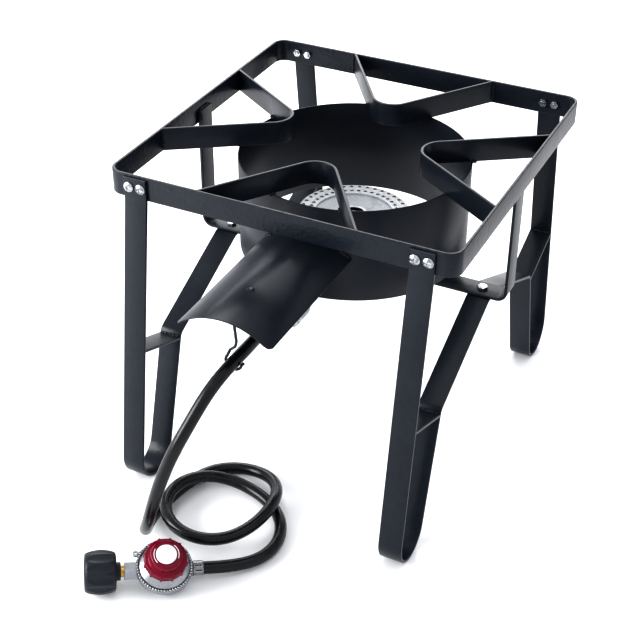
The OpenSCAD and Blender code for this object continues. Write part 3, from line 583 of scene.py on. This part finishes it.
brace_path = [(brace_y, brace_z, BRACE_TILT), (brace_out_y, brace_out_z, BRACE_TILT)]
for s, x_name in ((-1, "l"), (1, "r")):
    for f, y_name in ((-1, "f"), (1, "b")):
        brace = bar("brace_%s%s_bar" % (y_name, x_name), brace_path,
                    lambda y, z, w, s=s, f=f: (s * LEG_X + w, f * y, z), trim=brace_trim)
        adopt(brace, "black_steel", STAND, "brace_%s%s" % (y_name, x_name))


def frame_line(steps=12):
    """Stations round the square frame's rounded corners."""
    r = CORNER_R - HALF_T
    middle = FRAME_W / 2 - HALF_T - r
    out = []
    for k, (cx, cy) in enumerate(((1, -1), (1, 1), (-1, 1), (-1, -1))):
        for i in range(steps + 1):
            h = math.radians(90 * k + 90 * i / steps)
            out.append((cx * middle + r * math.sin(h), cy * middle - r * math.cos(h), h))
    return out


top = bar("frame_bar", frame_line(), lambda x, y, w: (x, y, BAR_MID_Z + w), closed=True)
top.data.materials[0] = FRAME_BLACK
adopt(top, "black_steel", STAND, "top_frame")

# The pot fingers.
TIP = FRAME_IN - SPREAD / math.tan(FINGER)
finger_path = stations([(SPREAD, -FRAME_IN), (0, -TIP), (-SPREAD, -FRAME_IN)], [0, FINGER_R, 0])


def finger_trim(i, x, y, h):
    """Move a point of a finger's end along the finger, to the frame's inner face."""
    d = (-FRAME_IN - y) / math.sin(h)
    return x + d * math.cos(h), -FRAME_IN


for k, name in enumerate(("front", "right", "back", "left")):
    finger = bar("finger_%s_bar" % name, finger_path,
                 lambda x, y, w, k=k: (*quarter(k, x, y), BAR_MID_Z + w), trim=finger_trim)
    adopt(finger, "black_steel", STAND, "finger_" + name)

# The hanger bracket across the stand, which carries the burner.
hanger_x, hanger_z = FRAME_IN - HALF_T, HANGER_Z - HALF_T
hanger_path = stations([(-hanger_x, STOVE_H - HANGER_DROP), (-hanger_x, hanger_z), (hanger_x, hanger_z),
                        (hanger_x, STOVE_H - HANGER_DROP)], [0, HANGER_R, HANGER_R, 0])
hanger = bar("hanger_bar", hanger_path, lambda x, z, w: (x, w, z))
adopt(hanger, "black_steel", STAND, "hanger_bracket")


def guard_low(a):
    """Height of the guard's lower edge at an angle; the slot is at the front."""
    x = GUARD_R * math.cos(a)
    if math.sin(a) < 0 and abs(x) < SLOT_HALF:
        return SLOT_Z + math.sqrt(max(0.0, SLOT_HALF ** 2 - x * x))
    return GUARD_Z


def make_guard(wall_steps=168, slot_steps=24, edge=0.45, soft=0.15, hair=1e-6):
    """The rolled wall round the burner, with softened edges; hair parts the slot's sides from it."""
    slot = math.asin(SLOT_HALF / GUARD_R)
    angles = [-math.pi / 2 + slot + (2 * math.pi - 2 * slot) * i / wall_steps for i in range(wall_steps + 1)]
    angles += [-math.pi / 2 - slot + hair + (2 * slot - 2 * hair) * i / slot_steps
               for i in range(slot_steps + 1)]
    r0, r1, z1 = GUARD_R - GUARD_T, GUARD_R, FRAME_Z
    verts, faces = [], []
    for a in angles:
        low = guard_low(a)
        ring = [(r1, low + edge), (r1, z1 - edge), (r1 - soft, z1 - soft), (r1 - edge, z1), (r0 + edge, z1),
                (r0 + soft, z1 - soft), (r0, z1 - edge), (r0, low + edge), (r0 + edge, low), (r1 - edge, low)]
        for r, z in ring:
            verts.append(place((r * math.cos(a), r * math.sin(a), z)))
    n, rows = len(ring), len(angles)
    for i in range(rows):
        j = (i + 1) % rows
        for k in range(n):
            m = (k + 1) % n
            faces.append((i * n + k, j * n + k, j * n + m, i * n + m))
    ob = new_mesh("guard_wall", verts, faces, GUARD)
    outward(ob)
    mark_sharp(ob, 60)
    return ob


adopt(make_guard(), "black_steel", STAND, "wind_guard")


def shield_row(i, r, across, along, first):
    """Points of the shield from its mouth to the guard's wall, and their numbers."""
    half_angle = math.asin(SHIELD_HALF / SHIELD_R)
    a = -half_angle + 2 * half_angle * i / across
    x, z = r * math.sin(a), SHIELD_Z + r * math.cos(a)
    over = abs(SHIELD_R * math.sin(a)) - (SHIELD_HALF - SHIELD_CORNER)
    rounding = SHIELD_CORNER - math.sqrt(max(0.0, SHIELD_CORNER ** 2 - over ** 2)) if over > 0 else 0.0
    y0 = -SHIELD_REACH + rounding
    y1 = -math.sqrt(GUARD_R ** 2 - x * x) - SHIELD_GAP
    points = [place((x, y0 + (y1 - y0) * j / along, z)) for j in range(along + 1)]
    return points, list(range(first, first + along + 1))


def make_shield(across=56, along=30):
    """The rolled sheet, cut to the guard's wall behind and rounded at its front corners."""
    sheets = []
    verts, faces = [], []
    for r in (SHIELD_R, SHIELD_R - SHIELD_T):
        rows = []
        for i in range(across + 1):
            points, row = shield_row(i, r, across, along, len(verts))
            verts += points
            rows.append(row)
        sheets.append(rows)
    o, n = sheets
    for i in range(across):
        for j in range(along):
            faces.append((o[i][j], o[i + 1][j], o[i + 1][j + 1], o[i][j + 1]))
            faces.append((n[i][j], n[i][j + 1], n[i + 1][j + 1], n[i + 1][j]))
    for i in range(across):
        faces.append((o[i][0], n[i][0], n[i + 1][0], o[i + 1][0]))
        faces.append((o[i][along], o[i + 1][along], n[i + 1][along], n[i][along]))
    for j in range(along):
        faces.append((o[0][j], o[0][j + 1], n[0][j + 1], n[0][j]))
        faces.append((o[across][j], n[across][j], n[across][j + 1], o[across][j + 1]))
    ob = new_mesh("shield_sheet", verts, faces, SHEET_BLACK)
    outward(ob)
    bevel(ob, 0.35, 2, 50)
    mark_sharp(ob, 60)
    return ob


adopt(make_shield(), "black_steel", STAND, "heat_shield")

# The hook: an eye round the rivet, a run forward, then a J that goes round the hose.
EYE_Z = SHIELD_Z + SHIELD_R - SHIELD_T - WIRE_R - EYE_GAP
HOOK = Vector((-3.7, HOOK_Y, 235.7))
HOOK_RING = HOSE_R + WIRE_R + HOOK_GAP
hook_points = [Vector((EYE_R * math.cos(math.radians(a)), RIVET_Y + EYE_R * math.sin(math.radians(a)), EYE_Z))
               for a in range(-70, 181, 10)]
hook_points += [Vector(p) for p in (
    (-EYE_R, RIVET_Y - 11, EYE_Z), (-EYE_R, HOOK_Y + 5.8, EYE_Z), (-3.8, HOOK_Y + 1.8, EYE_Z - 2),
    (-3.4, HOOK_Y, EYE_Z - 6), (-2, HOOK_Y, 280), (0, HOOK_Y, 260), (-1.5, HOOK_Y, 254), (-7, HOOK_Y, 249))]
hook_points += [HOOK + HOOK_RING * Vector((math.cos(math.radians(a)), 0, math.sin(math.radians(a))))
                for a in range(140, 351, 10)]
hook_points.append(HOOK + Vector((HOOK_RING + 2, 0, 1)))
adopt(wire("hook_wire", hook_points, WIRE_R, BLACK, 4), "black_steel", STAND, "hose_hook")

# The rivet is painted with the sheet; its top faces are lighter bare steel, a painted highlight on the
# rivet's top.
rivet = dress("shield_rivet", SHEET_BLACK, "black_steel", STAND, 0.3)
rivet.data.materials.append(NICKEL)
rivet_top = max(v.co.z for v in rivet.data.vertices)
for p in rivet.data.polygons:
    if p.center.z > rivet_top - 0.01 * MM:
        p.material_index = 1

# The burner, and the stand's fasteners.
burner_cap = dress("burner_cap", SILVER, "cast_iron", STAND, 0.35, 50)
dress("burner_bowl", BODY_IRON, "cast_iron", STAND, 0.8, 40)
dress("mixing_tube", BODY_IRON, "cast_iron", STAND, 0.4, 40)
# The bolt in the hub's hole is painted dark, as painted shade.
dress("burner_bolt", SHADE_METAL, "zinc_steel", STAND, 0.4)
for node in ("burner_nut", "bracket_bolts", "bracket_nuts", "frame_nuts"):
    dress(node, ZINC, "zinc_steel", STAND, 0.3)
dress("frame_screws", ZINC, "zinc_steel", STAND, 0.25, 50)
shutter = dress("air_shutter", ZINC, "zinc_steel", "air_shutter", 0.25, 60)

# The shutter's back face stands clear of the bell by a hair, so that it turns freely.
for v in shutter.data.vertices:
    if abs(v.co.y - (SHIFT - BELL_Y) * MM) < 0.005 * MM:
        v.co.y -= SHUTTER_CLEAR * MM
for node in ("shutter_nut", "orifice_fitting", "swivel_nut"):
    dress(node, BRASS, "brass", STAND, 0.35, 40)

# The cap's dished face is rougher and darker than its rim, and the hub's hole is painted near-black, as
# painted shade.
burner_cap.data.materials.append(RECESS)
burner_cap.data.materials.append(SHADE_BLACK)
for p in burner_cap.data.polygons:
    corners = [burner_cap.data.vertices[i].co for i in p.vertices]
    reach = max(math.hypot(v.x, v.y - SHIFT * MM) for v in corners)
    if p.center.z < (CAP_TOP - 0.2) * MM:
        p.material_index = 2 if reach < (HUB_R + 0.1) * MM else 1

# Every port of the cap has a small raised collar, cast with it, round a mouth painted near-black as painted
# shade.
COLLAR = [(1.95, 0.60), (2.15, 0.70), (2.45, 0.60), (2.75, 0.25), (2.9, -0.05)]
MOUTH = [(1.2, 0.03), (1.6, 0.10), (1.95, 0.60)]


def port_rings(name, profile, material, sides=16):
    """The same small turned shape at every port."""
    verts, faces, n = [], [], len(profile)
    for ring in PORT_RINGS:
        for k in range(PORTS):
            a = 2 * math.pi * k / PORTS
            cx, cy, first = ring * math.cos(a), ring * math.sin(a), len(verts)
            for i in range(sides):
                b = 2 * math.pi * i / sides
                verts += [place((cx + r * math.cos(b), cy + r * math.sin(b), CAP_TOP + z))
                          for r, z in profile]
            for i in range(sides):
                p, q = first + i * n, first + (i + 1) % sides * n
                faces += [(p + j, p + j + 1, q + j + 1, q + j) for j in range(n - 1)]
    return adopt(new_mesh(name, verts, faces, material), "cast_iron", STAND)


port_rings("cap_port_collars", COLLAR, SILVER)
port_rings("cap_port_mouths", MOUTH, SHADE_BLACK)

# The regulator. Its own frame has x along the gas line, towards the hose, and z up through the knob.
REG = (Matrix.Translation(REG_AT) @ Matrix.Rotation(REG_TURN, 4, "Z") @ Matrix.Rotation(REG_SLOPE, 4, "Y")
       @ Matrix.Rotation(REG_TILT, 4, "X"))


def line_in(x):
    """A place on the gas line before the regulator, facing the tank."""
    return REG @ Matrix.Translation((-x, 0, 0)) @ Matrix.Rotation(-math.pi / 2, 4, "Y")


def line_out(x):
    """A place on the gas line behind the regulator, facing the hose."""
    return REG @ Matrix.Translation((x, 0, 0)) @ Matrix.Rotation(math.pi / 2, 4, "Y")


dress("regulator_housing", CASTING, "zinc_casting", STAND, 0.6, 35)
dress("regulator_bonnet", BONNET, "zinc_casting", STAND, 0.5, 35)
dress("inlet_nipple", BRASS, "brass", STAND, 0.3, 40)
dress("nipple_collar", NUT, "black_plastic", STAND, 0.4, 40)
for node, finish, slot in (("diaphragm", RUBBER, "rubber"), ("diaphragm_plate", ZINC, "zinc_steel"),
                           ("main_spring", ZINC, "zinc_steel")):
    dress(node, finish, slot, STAND, 0.0)
dress("spring_seat", ZINC, "zinc_steel", "spring_seat", 0.2)
dress("adjusting_screw", ZINC, "zinc_steel", "pressure_knob", 0.2)

# The rim that crimps the two halves of the regulator together, and a dark lip on it, painted shade for the
# gaps between its teeth.
rim_profile = [(26.6, 2.6), (27.9, 2.7), (28.5, 3.4), (28.7, 4.6), (28.7, 7.4), (28.5, 8.5), (28.1, 9.1),
               (26.0, 9.3), (25.6, 9.2), (25.6, 9.05), (27.5, 9.0), (27.8, 8.6), (27.8, 3.4), (27.5, 3.0),
               (26.6, 2.98)]
adopt(turned("regulator_rim", rim_profile, REG, CASTING, 168), "zinc_casting", STAND)
lip_profile = [(25.3, 9.1), (28.2, 9.1), (28.3, 9.3), (28.1, 9.5), (25.5, 9.6), (25.3, 9.4)]
adopt(turned("regulator_lip", lip_profile, REG, SHADE_METAL, 168), "zinc_casting", STAND)


def rim_teeth(around=8, down=6):
    """Small slanted beads round the rim's lip, in a lighter metal than the rim, a painted highlight on the
    teeth.
    """
    wide, deep, high = TOOTH_SIZE
    out = Matrix.Translation((TOOTH_AT[0], 0, TOOTH_AT[1]))
    slant = Matrix.Rotation(TOOTH_SLANT, 4, "Z")
    verts, faces = [], []
    for k in range(TEETH):
        seat = REG @ (Matrix.Rotation(2 * math.pi * k / TEETH, 4, "Z") @ out) @ slant
        first = len(verts)
        verts.append(seat @ Vector((0, 0, high)))
        for i in range(1, down):
            t = math.pi * i / down
            for j in range(around):
                b = 2 * math.pi * j / around
                verts.append(seat @ Vector((deep * math.sin(t) * math.cos(b),
                                            wide * math.sin(t) * math.sin(b), high * math.cos(t))))
        verts.append(seat @ Vector((0, 0, -high)))
        last = len(verts) - 1
        for j in range(around):
            m = (j + 1) % around
            faces.append((first, first + 1 + j, first + 1 + m))
            for i in range(down - 2):
                p, q = first + 1 + i * around, first + 1 + (i + 1) * around
                faces.append((p + j, q + j, q + m, p + m))
            p = first + 1 + (down - 2) * around
            faces.append((p + j, last, p + m))
    return new_mesh("regulator_teeth", [place(v) for v in verts], faces, ZINC)


adopt(rim_teeth(), "zinc_steel", STAND)


def knob_lobe(r, z, a):
    """Flats round the knob's skirt, with a small nub where two flats meet."""
    if r < LOBE_FROM:
        return r
    step = 2 * math.pi / LOBES
    phi = (a + step / 2) % step - step / 2
    flat = math.cos(step / 2) / math.cos(phi)
    nub = LOBE_NUB * math.exp(-((step / 2 - abs(phi)) / NUB_HALF) ** 4)
    fade = min(1.0, (r - LOBE_FROM) / LOBE_FADE)
    return r * (1 + LOBE_FLAT * (flat - 1) * fade) + nub * fade


knob_profile = [(18.6, 19.5), (21.0, 19.5), (21.6, 19.7), (21.8, 20.3), (21.8, 22.0), (21.8, 24.4),
                (21.75, 26.6), (21.5, 27.6), (21.0, 28.2), (20.0, 28.5), (18.4, 28.6), (17.5, 28.9),
                (17.0, 29.6), (16.7, 31.0), (16.3, 33.2), (15.9, 35.0), (15.3, 36.0), (14.6, 36.5),
                (12.6, 36.5), (11.2, 36.5), (10.7, 36.3), (10.5, 35.9), (10.5, 35.5), (5.02, 35.5),
                (5.02, 33.5), (13.3, 33.5), (13.3, 27.0), (18.6, 27.0)]
knob = turned("knob_red", knob_profile, REG, RED, 240, knob_lobe)
mark_sharp(knob, 50)
adopt(knob, "red_plastic", "pressure_knob", "pressure_knob")

disc_profile = [(0.0, 35.45), (10.4, 35.45), (10.4, 37.0), (10.2, 37.4), (9.6, 37.65), (8.0, 37.75),
                (4.0, 37.8), (0.0, 37.8)]
disc = turned("knob_disc", disc_profile, REG, WHITE, 72, closed=False)
adopt(disc, "white_plastic", "pressure_knob", "knob_cap")


def arc_mark(name, start, end, r0=12.0, r1=12.8, z=36.45, height=0.25, steps=18):
    """A plain raised arc on the knob's top."""
    verts, faces = [], []
    for i in range(steps + 1):
        a = math.radians(start + (end - start) * i / steps)
        for r, h in ((r0, z), (r0, z + height), (r1, z + height), (r1, z)):
            verts.append(place(REG @ Vector((r * math.cos(a), r * math.sin(a), h))))
    for i in range(steps):
        for k in range(4):
            m = (k + 1) % 4
            faces.append((i * 4 + k, i * 4 + 4 + k, i * 4 + 4 + m, i * 4 + m))
    faces += [(0, 1, 2, 3), (steps * 4 + 3, steps * 4 + 2, steps * 4 + 1, steps * 4)]
    ob = new_mesh(name, verts, faces, WHITE, smooth=False)
    outward(ob)
    return adopt(ob, "white_plastic", "pressure_knob")


arc_mark("knob_arc_left", 150, 222)
arc_mark("knob_arc_right", -22, 50)


def rib(r, z, a):
    """Scoops between sharp ridges; they narrow to a point near the nut's ends."""
    if r < NUT_SKIN_R:
        return r
    width = math.sqrt(max(0.0, 1 - ((z - NUT_L / 2) / SCOOP_HALF) ** 2))
    off = abs((a * RIBS / (2 * math.pi)) % 1.0 - 0.5) * 2
    return r - SCOOP_DEPTH * width * max(0.0, 1 - (off / max(width, 0.05)) ** 2)


def nut_outline(steps=22, threads=11, pitch=2):
    """The hand nut's barrel outside, and a bore with a coarse thread inside."""
    outline = [(5.86, 0.0), (15.0, 0.0), (17.6, 0.1), (18.6, 0.5)]
    for k in range(1, steps):
        z = NUT_L * k / steps
        outline.append((NUT_BELLY - (NUT_BELLY - NUT_END) * (2 * z / NUT_L - 1) ** 2, z))
    outline += [(18.8, 30.5), (18.2, 31.0), (17.0, 30.8)]
    for k in range(threads):
        low = pitch * k
        outline += [(16.8, 29.0 - low), (15.9, 28.3 - low), (15.9, 27.9 - low), (16.8, 27.2 - low)]
    return outline + [(16.8, 6.0), (5.86, 6.0)]


nut = turned("nut_grip", nut_outline(), line_in(NUT_X), NUT, 240, rib)
mark_sharp(nut, 40)
adopt(nut, "black_plastic", "tank_nut", "tank_nut")


# The crimped sleeves at the hose's two ends.
def crimp(low, high):
    """Slots pressed into a sleeve between two heights."""
    def shape(r, z, a):
        if r < SLEEVE_SKIN_R:
            return r
        band = max(0.0, min(1.0, (z - low) / CRIMP_END, (high - z) / CRIMP_END))
        return r - CRIMP_DEPTH * band * max(0.0, math.cos(a * CRIMPS)) ** 4
    return shape


def sleeve_outline(length, radius, steps=14, far_edge=0.6):
    """A sleeve round the hose's end, with softened rims."""
    e = SLEEVE_EDGE
    rows = [(SLEEVE_BORE_R, 0.0), (radius - e, 0.0), (radius, e)]
    rows += [(radius, e + (length - 2 * e) * i / steps) for i in range(1, steps)]
    return rows + [(radius, length - e), (radius - far_edge, length), (SLEEVE_BORE_R, length)]


def darken_slots(ob, start, axis, radius):
    """Paint shade into the bottoms of a sleeve's slots; they lie within radius of its axis."""
    ob.data.materials.append(SHADE_BLACK)
    for p in ob.data.polygons:
        reach = (Vector(p.center) - place(start)).cross(axis).length
        if SLEEVE_SKIN_R * MM < reach < radius * MM and abs(p.normal.dot(axis)) < 0.5:
            p.material_index = 1


sleeve = turned("regulator_sleeve", sleeve_outline(SLEEVE_L, 7.6), line_out(SLEEVE_X), NICKEL, 96,
                crimp(2.0, 10.6))
darken_slots(sleeve, REG_AT, GAS_DIR, 6.9)
adopt(sleeve, "crimp_steel", STAND, "regulator_ferrule")

BURNER_SLEEVE_L = 16.0
burner_end = Vector((0, HOSE_Y + BURNER_SLEEVE_L, TUBE_Z))
sleeve = turned("burner_sleeve", sleeve_outline(BURNER_SLEEVE_L, 8.2),
                Matrix.Translation(burner_end) @ Matrix.Rotation(math.pi / 2, 4, "X"), NICKEL, 96,
                crimp(3.0, 14.0))
darken_slots(sleeve, burner_end, Vector((0, 1, 0)), 7.5)
adopt(sleeve, "crimp_steel", STAND, "burner_ferrule")


# Weld beads: the length of a step along one, and how much ripples and lumps change its radius.
BEAD_STEP = 0.7
BEAD_RIPPLE = 0.22
BEAD_LUMPS = 0.45
LUMP_SCALE = 0.4


def weld(name, a, b, radius, seed, sides=12):
    """A rippled bead of weld metal from a to b."""
    a, b = Vector(a), Vector(b)
    d = (b - a).normalized()
    u = d.orthogonal().normalized()
    v = d.cross(u)
    steps = max(8, int((b - a).length / BEAD_STEP))
    verts, faces = [], []
    for i in range(steps + 1):
        t = i / steps
        end = math.sqrt(max(0.02, 1 - (2 * t - 1) ** 8))
        c = a + (b - a) * t
        for k in range(sides):
            ang = 2 * math.pi * k / sides
            n = u * math.cos(ang) + v * math.sin(ang)
            lump = noise.noise(Vector((c.x * LUMP_SCALE + seed, c.y * LUMP_SCALE + ang, c.z * LUMP_SCALE)))
            ripple = math.sin(t * steps * 0.9 + math.cos(ang))
            r = radius * end * (1 + BEAD_RIPPLE * ripple + BEAD_LUMPS * lump)
            verts.append(place(c + n * r))
    for i in range(steps):
        for k in range(sides):
            m = (k + 1) % sides
            faces.append((i * sides + k, i * sides + m, (i + 1) * sides + m, (i + 1) * sides + k))
    faces.append(tuple(reversed(range(sides))))
    faces.append(tuple(range(steps * sides, (steps + 1) * sides)))
    ob = new_mesh(name, verts, faces, WELD)
    outward(ob)
    return adopt(ob, "black_steel", STAND)


def rim_crossing(radius):
    """How far to the side of its tip a finger's middle line crosses a circle."""
    slope = 1 / math.tan(FINGER)
    whole = 1 + slope ** 2
    return (-TIP * slope + math.sqrt((TIP * slope) ** 2 - whole * (TIP ** 2 - radius ** 2))) / whole


# The beads' radii, half their lengths, and how far they stand from the edges that they join.
SEED_STEP = 3.1
BRACE_BEAD = 1.7
FINGER_BEAD = 1.3
BEAD = 1.5
BRACE_BEAD_HALF = 11
RIM_BEAD_HALF = 4.5
BEAD_END = 3
FINGER_BEAD_X = SPREAD + 2.6
FINGER_BEAD_Y = -FRAME_IN + 0.5
RIM_MID_R = GUARD_R - 0.8
RIM_BEAD_OUT = HALF_T + 0.3
SHIELD_BEAD_OUT = 0.8
HANGER_TOP_Z = STOVE_H - 10.6
SHIELD_EDGE_Z = SHIELD_Z + math.sqrt(SHIELD_R ** 2 - 44.0 ** 2)
seed = 0.0

# At both ends of each brace.
inner_end = brace_trim(0, brace_y, brace_z + HALF_T, BRACE_TILT)
outer_end = brace_trim(1, brace_out_y, brace_out_z + HALF_T, BRACE_TILT)
for s in (-1, 1):
    for f in (-1, 1):
        for end, (y, z) in (("in", inner_end), ("out", outer_end)):
            seed += SEED_STEP
            weld("weld_brace_%s_%d_%d" % (end, s + 1, f + 1), (s * LEG_X - BRACE_BEAD_HALF, f * y, z),
                 (s * LEG_X + BRACE_BEAD_HALF, f * y, z), BRACE_BEAD, seed)

# Where each finger meets the frame, and where it crosses the guard's rim.
rim_x = rim_crossing(RIM_MID_R)
for k in range(4):
    for s in (-1, 1):
        seed += SEED_STEP
        p = quarter(k, s * FINGER_BEAD_X, FINGER_BEAD_Y)
        weld("weld_finger_%d_%d" % (k, s + 1), (*p, FRAME_Z + BEAD_END), (*p, STOVE_H - BEAD_END),
             FINGER_BEAD, seed)
        along = Vector((s * math.sin(FINGER), -math.cos(FINGER), 0)) * RIM_BEAD_HALF
        beside = Vector((-s * math.cos(FINGER), -math.sin(FINGER), 0)) * RIM_BEAD_OUT
        q = Vector((s * rim_x, -(TIP + rim_x / math.tan(FINGER)), FRAME_Z)) + beside
        r1, r2 = q - along, q + along
        weld("weld_rim_%d_%d" % (k, s + 1), (*quarter(k, r1.x, r1.y), r1.z), (*quarter(k, r2.x, r2.y), r2.z),
             BEAD, seed + 1)


def beside_shield(x, rise):
    """A point on the guard's wall, above or below the shield's edge."""
    return x, -math.sqrt(GUARD_R ** 2 - x ** 2) - SHIELD_BEAD_OUT, SHIELD_EDGE_Z + rise


# At the hanger's upper ends, and at the shield's corners on the guard.
for s in (-1, 1):
    seed += SEED_STEP
    x = s * (FRAME_IN - BAR_T)
    weld("weld_hanger_%d" % (s + 1), (x, -11, 340), (x, -11, 350), BEAD, seed)
    x = s * (FRAME_IN - 1)
    weld("weld_hanger_top_%d" % (s + 1), (x, -10, HANGER_TOP_Z), (x, 10, HANGER_TOP_Z), BEAD, seed + 1)
    weld("weld_shield_%d" % (s + 1), beside_shield(s * 47, -3), beside_shield(s * 38, 4), BEAD, seed + 2)


# The studio: a plain pale floor, an even pale sky and three soft lights.
def make_floor(half=6.0):
    """The floor, half metres from its middle to each side."""
    material = bpy.data.materials.new("floor_white")
    material.use_nodes = True
    bsdf = material.node_tree.nodes["Principled BSDF"]
    bsdf.inputs["Base Color"].default_value = (0.93, 0.935, 0.945, 1)
    bsdf.inputs["Roughness"].default_value = 0.45
    bsdf.inputs["Specular IOR Level"].default_value = 0.25
    bm = bmesh.new()
    bmesh.ops.create_grid(bm, x_segments=1, y_segments=1, size=half)
    mesh = bpy.data.meshes.new("studio_floor")
    bm.to_mesh(mesh)
    bm.free()
    mesh.materials.append(material)
    floor = bpy.data.objects.new("studio_floor", mesh)
    bpy.context.scene.collection.objects.link(floor)
    return floor


def softbox(name, at, aim, size, power):
    """A soft rectangular light at a place, turned to an aim, both in metres."""
    data = bpy.data.lights.new(name, "AREA")
    data.shape = "RECTANGLE"
    data.size, data.size_y = size
    data.energy = power
    ob = bpy.data.objects.new(name, data)
    ob.location = at
    ob.rotation_euler = (Vector(aim) - Vector(at)).to_track_quat("-Z", "Y").to_euler()
    ob.visible_camera = False
    bpy.context.scene.collection.objects.link(ob)


make_floor()
world = bpy.data.worlds.new("studio_world")
world.use_nodes = True
bpy.context.scene.world = world
sky = world.node_tree.nodes["Background"]
sky.inputs["Color"].default_value = (0.97, 0.98, 1.0, 1)
sky.inputs["Strength"].default_value = 0.85
softbox("key_left", (-1.5, -1.3, 0.9), (0, -0.1, 0.25), (1.2, 1.2), 42)
softbox("back_left", (-0.9, 1.7, 1.35), (0, 0, 0.25), (1.8, 1.0), 20)
softbox("top", (0.2, 0.2, 2.3), (0, 0, 0.2), (2.0, 1.4), 6)
bpy.context.scene.view_settings.view_transform = "Standard"
bpy.context.scene.view_settings.look = "High Contrast"
